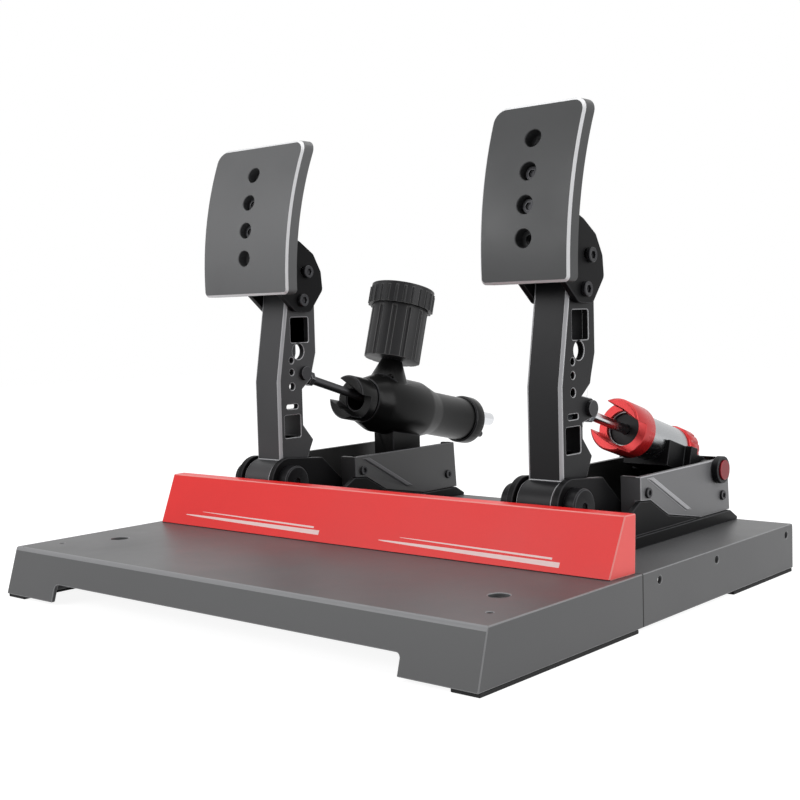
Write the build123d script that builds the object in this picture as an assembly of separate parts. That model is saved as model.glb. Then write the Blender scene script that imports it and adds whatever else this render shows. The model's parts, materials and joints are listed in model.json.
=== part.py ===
from build123d import *
import math
import os

# A two-pedal sim racing set: folded steel base plates, a red heel stop, and two pedal modules.
# X is across the set (+X is the throttle side), +Y points away from the driver, +Z is up.
# The origin is on the floor, under the middle of the set's outer box.

# Base plates
plate_width = 420.0
front_plate_depth = 155.5
plate_height = 35.0
plate_sheet = 3.0
front_rake = 9.5
leg_width = 54.0
arch_height = 14.5
arch_corner = 3.0
fold_radius = 2.0
tab_width = 22.0
tab_length = 46.0
foot_thickness = 2.5
foot_width = 19.0
front_foot_length = 158.0
rear_foot_length = 94.0
foot_margin = 1.5
rig_hole_radius = 6.5
rig_hole_spacing = 344.0
front_rig_hole_back = 62.0
rear_rig_hole_inset = 35.0
rear_rig_hole_spacing = 90.0
side_hole_radius = 2.5
side_hole_shares = [0.095, 0.446, 0.949]
side_hole_drop = 7.0
pin_hole_radius = 2.0
pin_hole_inset = 18.0
pin_hole_back = 26.0

# Clearances and overruns
shaft_gap = 0.05
thread_gap = 0.05
seat_gap = 0.1
body_gap = 0.3
bolt_gap = 0.35
cut_over = 2.0
hex_sides = 6
head_bevel_share = 0.16

# Plate joint bolts, M6 with nuts
seam_bolt_radius = 3.0
seam_bolt_head_radius = 5.0
seam_bolt_head = 4.0
seam_nut_radius = 5.5
seam_nut = 5.0
seam_bolt_tail = 2.0
seam_bolt_drop = 17.0
seam_bolt_xs = [-160.0, -60.0, 60.0, 160.0]
seam_to_bracket = 0.5

# Heel stop, folded red sheet
heel_seam_gap = 1.5
heel_height = 36.5
heel_foot_half = 204.0
heel_top_half = 206.0
heel_wing_share = 0.07
heel_lean = 16.0
heel_top_run = 11.0
heel_sheet = 2.5
heel_lip = 16.0
heel_screw_radius = 2.5
heel_screw_head_radius = 4.6
heel_screw_head = 2.6
heel_screw_length = 8.0
heel_screw_shares = [-0.8333, -0.2941, 0.2941, 0.8333]

# Pedal modules
module_spacing = 257.0
pivot_lift = 33.0

# Pivot bracket: base with two ears, measured from the pivot
base_thickness = 8.0
base_half_width = 39.0
base_front = 20.0
base_rear = 184.0
base_tail = 11.0
base_inset = 1.0
base_tail_rise = 2.0
ear_inner = 15.2
ear_outer = 20.0
ear_nose_radius = 18.0
ear_shoulder_run = 37.0
ear_shoulder_drop = 3.0
ear_foot_run = 74.0
ear_foot_rise = 8.0
skirt_front_run = 44.0
skirt_top_run = 57.0
skirt_knee_run = 71.0
skirt_elbow_run = 95.0
skirt_rear_run = 142.0
skirt_front_rise = 15.0
skirt_top_rise = 22.0
skirt_knee_rise = 21.0
skirt_elbow_rise = 8.0
post_inner = 27.0
post_half = 4.8
front_post_run = 67.0
rear_post_run = 176.0
front_post_top = 36.0
rear_post_top = 24.0

# Housing: grey cover behind the ears
housing_half_width = 36.0
housing_wall = 4.0
housing_front_run = 58.0
housing_rear_run = 188.5
housing_front_rise = 13.5
housing_rear_rise = 14.0
housing_rear_lean = 3.0
rear_notch_half = 24.0
rear_notch_rise = 9.5
housing_join = 0.4
rib_width = 6.5
rib_proud = 1.2
rib_top_run = 68.5
rib_foot_run = 120.0
rib_top_inset = 2.5
rib_foot_rise = 15.0
housing_screw_radius = 2.0
housing_screw_head_radius = 3.6
housing_screw_head = 1.8
housing_screw_length = 8.0
front_screw_rise = 27.0
rear_screw_rise = 12.0

# Module bolts, M6, through the base into nuts under the plate
mount_bolt_radius = 3.0
mount_bolt_head_radius = 4.9
mount_bolt_head = 5.5
mount_nut_radius = 5.5
mount_nut = 5.0
mount_bolt_tail = 1.5
mount_bolt_half = 25.5
mount_bolt_runs = [22.0, 158.0]

# Pivot axle, bearings and caps
axle_radius = 5.0
axle_end = 22.0
bearing_radius = 10.0
bearing_flange_radius = 8.0
cap_radius = 12.5
cap_thickness = 2.5
cap_cavity = 6.5
cap_rim = 2.0
cap_socket = 3.5
cap_socket_depth = 2.0

# Pedal arm: channel section, measured from the pivot
arm_half_width = 13.5
arm_web = 5.0
arm_skin = 6.0
arm_lug_radius = 16.0
arm_front_setback = 2.0
arm_depth = 40.5
arm_rise = 139.0
arm_chamfer = 1.5
arm_front_shares = [(0.0, 0.0), (0.0, 0.55), (0.24, 0.95), (0.38, 1.24)]
arm_top_shares = [(0.5, 1.29), (0.78, 1.29)]
arm_rear_shares = [
    (1.03, 1.12),
    (1.03, 0.7),
    (0.92, 0.6),
    (0.88, 0.555),
    (0.63, 0.5),
    (0.63, 0.3),
    (0.9, 0.21),
    (0.5, -0.02),
]
open_pocket_shares = (0.37, 0.75)
top_pocket_shares = (0.75, 0.985)
low_pocket_shares = (0.21, 0.37)
top_pocket_depth_share = 0.9
low_pocket_depth_share = 0.52
top_window_shares = (0.36, 0.84, 0.765, 0.905)
low_window_shares = (0.13, 0.56, 0.235, 0.36)
slot_window_shares = (0.2, 0.5, 0.395, 0.42)
window_corner = 1.5
weight_hole_shares = [(0.55, 0.715, 0.045), (0.36, 0.665, 0.017), (0.36, 0.6, 0.017), (0.36, 0.52, 0.02)]

# Throttle linkage, from the pivot and along the damper's line
throttle_pin_run = 32.8
throttle_pin_rise = 60.7
throttle_slope = 16.5
trunnion_reach = 145.5
trunnion_drop = 13.2

# Brake linkage, from the pivot and along the master cylinder's line
brake_pin_run = 26.5
brake_pin_rise = 82.0
brake_slope = 11.2
brake_axis_drop = 10.6
ball_reach = 108.0

# Link pins, rod ends and rods
link_pin_radius = 3.5
link_lug_radius = 7.0
link_lug_root = 10.0
link_pin_head_radius = 5.5
link_pin_head = 3.0
link_pin_nut = 3.5
eye_radius = 8.0
eye_half_width = 5.0
eye_slack = 1.3
spacer_radius = 6.0
neck_radius = 5.0
neck_end = 17.0
neck_thread = 8.0
rod_radius = 3.5
lock_nut_radius = 6.2
lock_nut = 4.5

# Damper collar (throttle) and its like on the brake
collar_radius = 19.0
collar_front = 53.5
collar_prong = 13.0
collar_end = 81.2
collar_slot_half = 11.5
collar_turn = 27.0
collar_bore_radius = 12.5
edge_chamfer = 1.2
brake_collar_radius = 18.5
brake_collar_front = 64.0
brake_collar_prong = 12.0
brake_collar_end = 85.0
brake_collar_slot_half = 10.0
brake_collar_bore_radius = 10.5

# Damper
damper_radius = 15.2
damper_start = 69.0
damper_bore_radius = 11.5
damper_end = 136.6
damper_plug = 6.0
gland_inset = 2.0
gland_length = 7.0
piston_length = 6.0
damper_piston_start = 87.5
adjuster_radius = 16.6
adjuster_start = 137.0
adjuster_end = 153.5
adjuster_spindle_radius = 4.0
adjuster_flutes = 16
adjuster_flute_radius = 1.2
adjuster_flute_lift = 0.4
adjuster_rim = 5.5
cradle_start = 104.0
cradle_lug_inner = 18.0
cradle_lug_outer = 23.5
cradle_lug_radius = 9.0
cradle_drop = 19.0
cradle_cross = 9.5
trunnion_shoulder_radius = 6.5
trunnion_radius = 4.0
trunnion_head_radius = 10.0
trunnion_head = 5.5
trunnion_button_radius = 7.2
trunnion_button = 1.2
spring_wire = 1.1
spring_radius = 8.6
spring_turns = 5
spring_gap = 0.6

# Master cylinder
spigot_radius = 13.0
spigot_start = 77.0
boss_nose_radius = 19.0
boss_start = 102.0
boss_radius = 25.0
boss_end = 151.0
taper_end = 173.0
cylinder_radius = 19.2
cylinder_bore_radius = 9.5
cylinder_bore_end = 207.0
cylinder_end = 219.0
end_cap_radius = 21.5
end_cap_end = 232.0
sensor_radius = 6.0
sensor_hex_radius = 9.0
sensor_hex = 5.0
sensor_end = 266.0
sensor_thread = 6.0
sensor_lift = 5.0
nipple_radius = 3.2
nipple_drop = 10.0
nipple_length = 22.0
nipple_thread = 5.0
nipple_nut_radius = 5.0
nipple_nut = 4.0
brake_piston_start = 101.0
brake_piston_end = 169.0
ball_radius = 5.0
ball_cup_gap = 0.1
seal_width = 3.0
seal_height = 1.6
front_seal_reach = 9.0
rear_seal_reach = 6.0
brake_spring_wire = 1.0
brake_spring_radius = 7.6
brake_spring_turns = 5
foot_half_width = 20.0
foot_front_run = 134.0
foot_rear_run = 170.0
foot_thick = 6.0
web_half = 11.0
bridge_thickness = 5.0
bridge_rise = 6.0
bridge_front_run = 131.0
foot_bolt_radius = 2.5
foot_bolt_head_radius = 4.2
foot_bolt_head = 3.0
foot_bolt_half = 15.5
foot_bolt_runs = [142.0, 162.0]

# Reservoir on the master cylinder
reservoir_reach = 114.0
reservoir_lean = 16.5
neck_root_radius = 19.0
neck_root_rise = 15.0
neck_ring_radius = 9.0
reservoir_neck_top = 39.0
reservoir_radius = 24.2
reservoir_wall = 2.0
reservoir_top = 90.0
reservoir_floor = 3.0
reservoir_flutes = 12
reservoir_flute_radius = 2.2
reservoir_cap_radius = 28.5
reservoir_cap_overlap = 5.0
reservoir_cap_height = 18.0
reservoir_cap_wall = 3.0
reservoir_cap_ribs = 24
reservoir_rib_radius = 1.1
diaphragm_thickness = 2.0
port_radius = 2.0

# Pads
pad_height = 115.0
pad_bottom_rise = 143.0
pad_front_setback = 22.0
pad_thickness = 11.0
pad_face_radius = 252.0
pad_tangent_rise = 10.0
pad_corner = 9.5
pad_foot_corner = 4.0
pad_flare = 1.5
pad_chamfer = 1.6
brake_pad_width = 95.5
throttle_pad_width = 71.0
pad_hole_radius = 6.0
pad_hole_pitch = 21.2
pad_first_hole = 28.3
pad_hole_count = 4
pad_web = 3.0
pad_screw_radius = 2.9
pad_screw_head_radius = 5.0
pad_screw_head = 3.5
pad_screw_tail = 1.0

# Pad carrier with two ears on the arm's top
carrier_plate = 5.0
carrier_half_width = 18.5
carrier_top_gap = 14.0
carrier_bottom_gap = 3.0
carrier_ear_inner = 14.0
tilt_run = 21.0
tilt_rise = 139.0
lock_run = 27.0
lock_rise = 161.0
carrier_ear_shares = [
    (-0.62, 0.22),
    (-0.2, -0.24),
    (0.26, -0.26),
    (0.66, 0.22),
    (0.62, 0.62),
    (0.4, 1.0),
    (0.0, 1.26),
    (-0.55, 1.6),
]
carrier_ear_size = 36.0
carrier_ear_corner = 5.0
carrier_screw_radius = 3.0
carrier_screw_head_radius = 5.0
carrier_screw_head = 3.2
carrier_screw_depth = 7.0
tilt_travel = 8.0

# Electronics
magnet_radius = 3.0
magnet_thickness = 2.0
board_thickness = 1.6
board_radius = 9.0
board_gap = 0.6
socket_width = 14.0
socket_height = 10.0
socket_depth = 15.0
socket_wall = 1.6
socket_rise = -17.0
socket_floor = 3.0

# Places worked out from the sizes above
deck = plate_height
pivot_back = front_plate_depth + seam_to_bracket + base_front
rear_plate_depth = seam_to_bracket + base_front + base_rear + base_tail + base_inset
plate_depth = front_plate_depth + rear_plate_depth
rear_rig_hole_back = plate_depth - rear_rig_hole_inset
side_hole_backs = [front_plate_depth + share * rear_plate_depth for share in side_hole_shares]
heel_back = front_plate_depth - heel_seam_gap - heel_lean - heel_top_run
heel_screw_xs = [share * heel_foot_half for share in heel_screw_shares]
reservoir_cap_start = reservoir_top - reservoir_cap_overlap
reservoir_cap_end = reservoir_cap_start + reservoir_cap_height
brake_tilt = math.radians(brake_slope)
throttle_tilt = math.radians(throttle_slope)
swing = math.atan2(brake_axis_drop, ball_reach)
rod_reach = math.hypot(brake_axis_drop, ball_reach)
nipple_end = end_cap_end + nipple_length
set_rear_back = (
    pivot_back
    + brake_pin_run
    + sensor_end * math.cos(brake_tilt)
    + (sensor_lift + sensor_radius - brake_axis_drop) * math.sin(brake_tilt)
)
set_length = front_rake + set_rear_back
front_y = front_rake - set_length / 2
seam_y = front_y + front_plate_depth
rear_y = front_y + plate_depth
pivot_y = front_y + pivot_back
pivot_z = deck + pivot_lift
base_top = deck + base_thickness
throttle_x = module_spacing / 2
brake_x = -module_spacing / 2

BASE = (Align.CENTER, Align.CENTER, Align.MIN)


def block(x0, x1, y0, y1, z0, z1):
    return Pos((x0 + x1) / 2, (y0 + y1) / 2, (z0 + z1) / 2) * Box(x1 - x0, y1 - y0, z1 - z0)


def slab(points, x0, x1):
    """A flat plate square to X, from an outline of (y, z) points."""
    outline = make_face(Polyline(*points, close=True))
    place = Plane(origin=(x0, 0, 0), x_dir=(0, 1, 0), z_dir=(1, 0, 0))
    return extrude(place * outline, amount=x1 - x0, dir=(1, 0, 0))


def rod_x(radius, x0, x1, y, z):
    place = Pos(min(x0, x1), y, z) * Rot(0, 90, 0)
    return place * Cylinder(radius, abs(x1 - x0), align=BASE)


def rod_y(radius, x, y0, y1, z):
    place = Pos(x, y0, z) * Rot(-90, 0, 0)
    return place * Cylinder(radius, y1 - y0, align=BASE)


def rod_z(radius, x, y, z0, z1):
    return Pos(x, y, z0) * Cylinder(radius, z1 - z0, align=BASE)


def hole_z(radius, x, y, z0, z1):
    """A cutter that runs past both faces of a level wall."""
    return rod_z(radius, x, y, z0 - cut_over, z1 + cut_over)


def hole_x(radius, x0, x1, y, z):
    """A cutter along X that runs past both faces of an upright wall."""
    return rod_x(radius, min(x0, x1) - cut_over, max(x0, x1) + cut_over, y, z)


def hole_y(radius, x, y0, y1, z):
    """A cutter along Y that runs past both faces of an upright wall."""
    return rod_y(radius, x, y0 - cut_over, y1 + cut_over, z)


def nut_on(place, radius, height):
    return place * extrude(RegularPolygon(radius, hex_sides), amount=height)


def rod_on(line, radius, start, end):
    return line * Pos(0, 0, start) * Cylinder(radius, end - start, align=BASE)


def hex_on(line, radius, start, end):
    return nut_on(line * Pos(0, 0, start), radius, end - start)


def socket_screw(place, shank, length, head_radius, head):
    """A socket head screw: its head stands up the place's Z, its shank runs down it."""
    body = Pos(0, 0, -length) * Cylinder(shank, length, align=BASE)
    top = Cylinder(head_radius, head, align=BASE)
    top = chamfer(top.faces().sort_by(Axis.Z)[-1].edges(), head * head_bevel_share)
    recess = nut_on(Pos(0, 0, head / 2), head_radius / 2, head)
    return place * (body + top - recess)


def from_pivot(run, rise):
    return (pivot_y + run, pivot_z + rise)


def link_line(x, run, rise, tilt):
    """The line of a rod: it starts at the arm's link pin and runs back and down."""
    y, z = from_pivot(run, rise)
    return Plane(origin=(x, y, z), x_dir=(1, 0, 0), z_dir=(0, math.cos(tilt), -math.sin(tilt))).location


def coil(radius, wire, length, turns):
    path = Helix(pitch=length / turns, height=length, radius=radius)
    ring = Plane(origin=path @ 0, z_dir=path % 0) * Circle(wire)
    return sweep(ring, path=path, is_frenet=True)


# Base plates
def front_plate():
    half = plate_width / 2
    low = foot_thickness
    outside = [(front_y, deck), (front_y - front_rake, low), (seam_y, low), (seam_y, deck)]
    slope = front_rake / (deck - low)
    inner_front = front_y + plate_sheet * math.hypot(1, slope)
    inner_top = deck - plate_sheet
    inside = [
        (inner_front - slope * plate_sheet, inner_top),
        (inner_front - slope * (deck - low + cut_over), low - cut_over),
        (seam_y - plate_sheet, low - cut_over),
        (seam_y - plate_sheet, inner_top),
    ]
    plate = slab(outside, -half, half) - slab(inside, -half + plate_sheet, half - plate_sheet)
    arch_half = half - leg_width
    arch_front = front_y - front_rake - cut_over
    arch = block(-arch_half, arch_half, arch_front, inner_front, low - cut_over, arch_height)
    arch = fillet(arch.edges().filter_by(Axis.Y).group_by(Axis.Z)[-1], arch_corner)
    plate -= arch
    for side in (-1, 1):
        plate += corner_tab(side, front_y - front_rake + plate_sheet, low)
        x = side * rig_hole_spacing / 2
        plate -= hole_z(rig_hole_radius, x, front_y + front_rig_hole_back, deck - plate_sheet, deck)
        x = side * (half - pin_hole_inset)
        plate -= hole_z(pin_hole_radius, x, front_y + pin_hole_back, deck - plate_sheet, deck)
    for x in heel_screw_xs:
        plate -= hole_z(heel_screw_radius + thread_gap, x, heel_screw_y, deck - plate_sheet, deck)
    for x in seam_bolt_xs:
        plate -= hole_y(seam_bolt_radius + thread_gap, x, seam_y - plate_sheet, seam_y, deck - seam_bolt_drop)
    return plate


def corner_tab(side, start, low):
    half = plate_width / 2
    x0, x1 = sorted((side * (half - plate_sheet / 2), side * (half - tab_width)))
    return block(x0, x1, start, start + tab_length, low, low + plate_sheet)


def rear_plate():
    half = plate_width / 2
    low = foot_thickness
    plate = block(-half, half, seam_y, rear_y, low, deck)
    plate = fillet(plate.edges().filter_by(Axis.X).group_by(Axis.Y)[-1].sort_by(Axis.Z)[-1], fold_radius)
    wide = half - plate_sheet
    inside_front, inside_rear = seam_y + plate_sheet, rear_y - plate_sheet
    plate -= block(-wide, wide, inside_front, inside_rear, low - cut_over, deck - plate_sheet)
    for side in (-1, 1):
        plate += corner_tab(side, rear_y - plate_sheet - tab_length, low)
        for back in side_hole_backs:
            plate -= hole_x(side_hole_radius, side * wide, side * half, front_y + back, deck - side_hole_drop)
        x = side * rear_rig_hole_spacing / 2
        plate -= hole_z(rig_hole_radius, x, front_y + rear_rig_hole_back, deck - plate_sheet, deck)
    for x in seam_bolt_xs:
        plate -= hole_y(seam_bolt_radius + thread_gap, x, seam_y, seam_y + plate_sheet, deck - seam_bolt_drop)
    for centre in (brake_x, throttle_x):
        for x, y in mount_places(centre):
            plate -= hole_z(mount_bolt_radius + bolt_gap, x, y, deck - plate_sheet, deck)
    return plate


def mount_places(centre):
    return [(centre + side * mount_bolt_half, pivot_y + run) for run in mount_bolt_runs for side in (-1, 1)]


def rubber_feet():
    half = plate_width / 2
    feet = []
    for side in (-1, 1):
        x0, x1 = sorted((side * (half - foot_width), side * half))
        start = front_y - front_rake + foot_margin
        feet.append(block(x0, x1, start, start + front_foot_length, 0, foot_thickness))
        end = rear_y - foot_margin
        feet.append(block(x0, x1, end - rear_foot_length, end, 0, foot_thickness))
    return feet


def seam_bolts():
    bolts = []
    head_face = seam_y - plate_sheet
    for x in seam_bolt_xs:
        z = deck - seam_bolt_drop
        length = 2 * plate_sheet + seam_nut + seam_bolt_tail
        place = Pos(x, head_face, z) * Rot(90, 0, 0)
        bolts.append(socket_screw(place, seam_bolt_radius, length, seam_bolt_head_radius, seam_bolt_head))
        face = seam_y + plate_sheet
        nut = nut_on(Pos(x, face, z) * Rot(-90, 0, 0), seam_nut_radius, seam_nut)
        nut -= hole_y(seam_bolt_radius + thread_gap, x, face, face + seam_nut, z)
        bolts.append(nut)
    return bolts


# Heel stop
heel_screw_y = front_y + heel_back + heel_sheet + heel_lip / 2


def heel_prism(inset, base, top):
    """The stop's outer shape, or its inside: it leans back and its side wings run back."""
    foot_y = front_y + heel_back
    back = foot_y + heel_lean + heel_top_run
    outlines = []
    for z in (base, top):
        share = (z - deck) / heel_height
        half = heel_foot_half + share * (heel_top_half - heel_foot_half) - inset
        start = foot_y + share * heel_lean
        out = heel_wing_share * (back - start)
        points = [
            (-half, start + inset, z),
            (half, start + inset, z),
            (half + out, back, z),
            (-half - out, back, z),
        ]
        outlines.append(make_face(Polyline(*points, close=True)))
    return loft(outlines, ruled=True)


def heel_stop():
    top = deck + heel_height
    shell = heel_prism(0, deck, top)
    shell -= heel_prism(heel_sheet, deck, top - heel_sheet)
    lip_half = heel_foot_half - heel_sheet - seat_gap
    lip_front = front_y + heel_back + heel_sheet
    shell += block(
        -lip_half,
        lip_half,
        lip_front - heel_sheet / 2,
        lip_front + heel_lip,
        deck,
        deck + heel_sheet,
    )
    for x in heel_screw_xs:
        shell -= hole_z(heel_screw_radius + thread_gap, x, heel_screw_y, deck, deck + heel_sheet)
    return shell


def heel_screws():
    screws = []
    for x in heel_screw_xs:
        place = Pos(x, heel_screw_y, deck + heel_sheet)
        head = (heel_screw_head_radius, heel_screw_head)
        screws.append(socket_screw(place, heel_screw_radius, heel_screw_length, *head))
    return screws


# Pivot bracket
def bracket(centre, with_bridge):
    base = slab(
        [
            (pivot_y - base_front, deck),
            (pivot_y + base_rear + base_tail, deck),
            (pivot_y + base_rear + base_tail, deck + base_tail_rise),
            (pivot_y + base_rear, base_top),
            (pivot_y - base_front, base_top),
        ],
        centre - base_half_width,
        centre + base_half_width,
    )
    ear_outline = [
        (pivot_y - base_front, base_top - cut_over),
        (pivot_y - ear_nose_radius, pivot_z),
        (pivot_y, pivot_z + ear_nose_radius),
        (pivot_y + ear_shoulder_run, pivot_z + ear_nose_radius - ear_shoulder_drop),
        (pivot_y + ear_foot_run, base_top + ear_foot_rise),
        (pivot_y + ear_foot_run, base_top - cut_over),
    ]
    skirt_outline = [
        (pivot_y + skirt_front_run, base_top - cut_over),
        (pivot_y + skirt_front_run, base_top + skirt_front_rise),
        (pivot_y + skirt_top_run, base_top + skirt_top_rise),
        (pivot_y + skirt_knee_run, base_top + skirt_knee_rise),
        (pivot_y + skirt_elbow_run, base_top + skirt_elbow_rise),
        (pivot_y + skirt_rear_run, base_top),
        (pivot_y + skirt_rear_run, base_top - cut_over),
    ]
    for side in (-1, 1):
        inner, outer = centre + side * ear_inner, centre + side * ear_outer
        ear = slab(ear_outline, min(inner, outer), max(inner, outer))
        ear += rod_x(ear_nose_radius, inner, outer, pivot_y, pivot_z)
        ear -= hole_x(bearing_radius, inner, outer, pivot_y, pivot_z)
        base += ear
        wall_in = centre + side * (housing_half_width - housing_wall)
        wall_out = centre + side * housing_half_width
        base += slab(skirt_outline, min(wall_in, wall_out), max(wall_in, wall_out))
        post_in = centre + side * post_inner
        post_out = centre + side * (housing_half_width - housing_wall - seat_gap)
        x0, x1 = sorted((post_in, post_out))
        for run, rise in ((front_post_run, front_post_top), (rear_post_run, rear_post_top)):
            y = pivot_y + run
            base += block(x0, x1, y - post_half, y + post_half, base_top - cut_over, base_top + rise)
        for run, rise in housing_screw_places():
            base -= hole_x(housing_screw_radius + thread_gap, x0, x1, pivot_y + run, base_top + rise)
    if with_bridge:
        top = base_top + bridge_rise + bridge_thickness
        y0 = pivot_y + bridge_front_run
        y1 = pivot_y + foot_rear_run
        pedestal = block(centre - foot_half_width, centre + foot_half_width, y0, y1, base_top - cut_over, top)
        base += pedestal
        for x, y in foot_bolt_places(centre):
            base -= rod_z(foot_bolt_radius + thread_gap, x, y, base_top, top + cut_over)
    for x, y in mount_places(centre):
        base -= hole_z(mount_bolt_radius + bolt_gap, x, y, deck, base_top)
    return base


def housing_screw_places():
    return [(front_post_run, front_screw_rise), (rear_post_run, rear_screw_rise)]


def foot_bolt_places(centre):
    return [(centre + side * foot_bolt_half, pivot_y + run) for run in foot_bolt_runs for side in (-1, 1)]


# Housing
def housing(centre, with_trunnions):
    front = pivot_y + housing_front_run
    rear = pivot_y + housing_rear_run
    front_top = pivot_z + housing_front_rise
    rear_top = pivot_z + housing_rear_rise
    join_z = base_top + skirt_top_rise + housing_join
    side_outline = [
        (front, join_z),
        (front, front_top),
        (rear - housing_rear_lean, rear_top),
        (rear, base_top),
        (pivot_y + skirt_rear_run, base_top),
        (pivot_y + skirt_rear_run, base_top + housing_join),
        (pivot_y + skirt_elbow_run + housing_join, base_top + skirt_elbow_rise + housing_join),
        (pivot_y + skirt_knee_run + housing_join, base_top + skirt_knee_rise + housing_join),
    ]
    rib_outline = [
        (pivot_y + rib_top_run, pivot_z + housing_front_rise - rib_top_inset),
        (pivot_y + rib_top_run + rib_width, pivot_z + housing_front_rise - rib_top_inset),
        (pivot_y + rib_foot_run + rib_width, base_top + rib_foot_rise - rib_width),
        (pivot_y + rib_foot_run, base_top + rib_foot_rise - rib_width),
    ]
    shell = None
    for side in (-1, 1):
        wall_in = centre + side * (housing_half_width - housing_wall)
        wall_out = centre + side * housing_half_width
        wall = slab(side_outline, min(wall_in, wall_out), max(wall_in, wall_out))
        rib_out = wall_out + side * rib_proud
        wall += slab(rib_outline, min(wall_in, rib_out), max(wall_in, rib_out))
        face_in = centre + side * (ear_outer + body_gap)
        x0, x1 = sorted((face_in, wall_in + side * housing_wall / 2))
        wall += block(x0, x1, front, front + housing_wall, join_z, front_top)
        x0, x1 = sorted((face_in, wall_in - side * seat_gap))
        wall += block(x0, x1, front, front + housing_wall, base_top, join_z + cut_over)
        for run, rise in housing_screw_places():
            wall -= hole_x(housing_screw_radius + bolt_gap, wall_in, wall_out, pivot_y + run, base_top + rise)
        shell = wall if shell is None else shell + wall
    back_outline = [
        (rear - housing_wall - housing_rear_lean, rear_top),
        (rear - housing_rear_lean, rear_top),
        (rear, base_top),
        (rear - housing_wall, base_top),
    ]
    shell += slab(back_outline, centre - housing_half_width, centre + housing_half_width)
    notch_z = pivot_z - rear_notch_rise
    shell -= block(
        centre - rear_notch_half,
        centre + rear_notch_half,
        rear - housing_wall - housing_rear_lean - cut_over,
        rear + cut_over,
        notch_z,
        rear_top + cut_over,
    )
    x0, x1, z0, z1 = socket_opening(centre, 0)
    shell -= block(x0, x1, rear - housing_wall - housing_rear_lean - cut_over, rear + cut_over, z0, z1)
    if with_trunnions:
        y, z = trunnion_place()
        bore = trunnion_radius + shaft_gap
        shell -= hole_x(bore, centre - housing_half_width, centre + housing_half_width, y, z)
    return shell


def socket_opening(centre, inset):
    z = pivot_z + socket_rise
    half_w = socket_width / 2 + seat_gap - inset
    half_h = socket_height / 2 + seat_gap - inset
    return centre - half_w, centre + half_w, z - half_h, z + half_h


def housing_screws(centre):
    screws = []
    for side in (-1, 1):
        for run, rise in housing_screw_places():
            x = centre + side * housing_half_width
            place = Pos(x, pivot_y + run, base_top + rise) * Rot(0, side * 90, 0)
            head = (housing_screw_head_radius, housing_screw_head)
            screws.append(socket_screw(place, housing_screw_radius, housing_screw_length, *head))
    return screws


def mount_bolts(centre):
    bolts = []
    for x, y in mount_places(centre):
        length = base_thickness + plate_sheet + mount_nut + mount_bolt_tail
        head = (mount_bolt_head_radius, mount_bolt_head)
        bolts.append(socket_screw(Pos(x, y, base_top), mount_bolt_radius, length, *head))
        top = deck - plate_sheet
        nut = nut_on(Pos(x, y, top - mount_nut), mount_nut_radius, mount_nut)
        nut -= hole_z(mount_bolt_radius + thread_gap, x, y, top - mount_nut, top)
        bolts.append(nut)
    return bolts


# Pivot
def axle(centre):
    return rod_x(axle_radius, centre - axle_end, centre + axle_end, pivot_y, pivot_z)


def bearings(centre):
    rings = []
    for side in (-1, 1):
        inner, outer = centre + side * ear_inner, centre + side * ear_outer
        arm_side = centre + side * (arm_half_width + seat_gap)
        ring = rod_x(bearing_radius - seat_gap, inner, outer, pivot_y, pivot_z)
        ring += rod_x(bearing_flange_radius, arm_side, inner, pivot_y, pivot_z)
        ring -= hole_x(axle_radius + shaft_gap, arm_side, outer, pivot_y, pivot_z)
        rings.append(ring)
    return rings


def axle_caps(centre):
    caps = []
    for side in (-1, 1):
        start = centre + side * ear_outer
        end = start + side * (cap_cavity + cap_thickness)
        cap = rod_x(cap_radius, start, end, pivot_y, pivot_z)
        face = cap.faces().filter_by(Axis.X).sort_by(Axis.X)[-1 if side > 0 else 0]
        cap = chamfer(face.edges(), cap_rim / 2)
        cavity = (start - side * cut_over, start + side * cap_cavity)
        cap -= rod_x(cap_radius - cap_rim, *cavity, pivot_y, pivot_z)
        place = Pos(end - side * cap_socket_depth, pivot_y, pivot_z) * Rot(0, side * 90, 0)
        cap -= nut_on(place, cap_socket, cap_thickness)
        caps.append(cap)
    return caps


# Arm
def arm_point(share):
    front = pivot_y - arm_front_setback
    return (front + share[0] * arm_depth, pivot_z + share[1] * arm_rise)


def arm_box(centre, shares, half):
    front, rear, low, high = shares
    y0, z0 = arm_point((front, low))
    y1, z1 = arm_point((rear, high))
    return block(centre - half, centre + half, y0, y1, z0, z1)


def arm_front_at(z):
    points = [arm_point(share) for share in arm_front_shares]
    for (y0, z0), (y1, z1) in zip(points, points[1:]):
        if z <= z1:
            return y0 + (y1 - y0) * (z - z0) / (z1 - z0)
    return points[-1][0]


def arm_cavity(centre, z0, z1, rear):
    """The inside of the channel between two heights, behind its front skin."""
    half = arm_half_width - arm_web
    heights = [z0] + [arm_point(s)[1] for s in arm_front_shares if z0 < arm_point(s)[1] < z1] + [z1]
    points = [(arm_front_at(z) + arm_skin, z) for z in heights]
    points += [(rear, z1), (rear, z0)]
    return slab(points, centre - half, centre + half)


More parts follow.
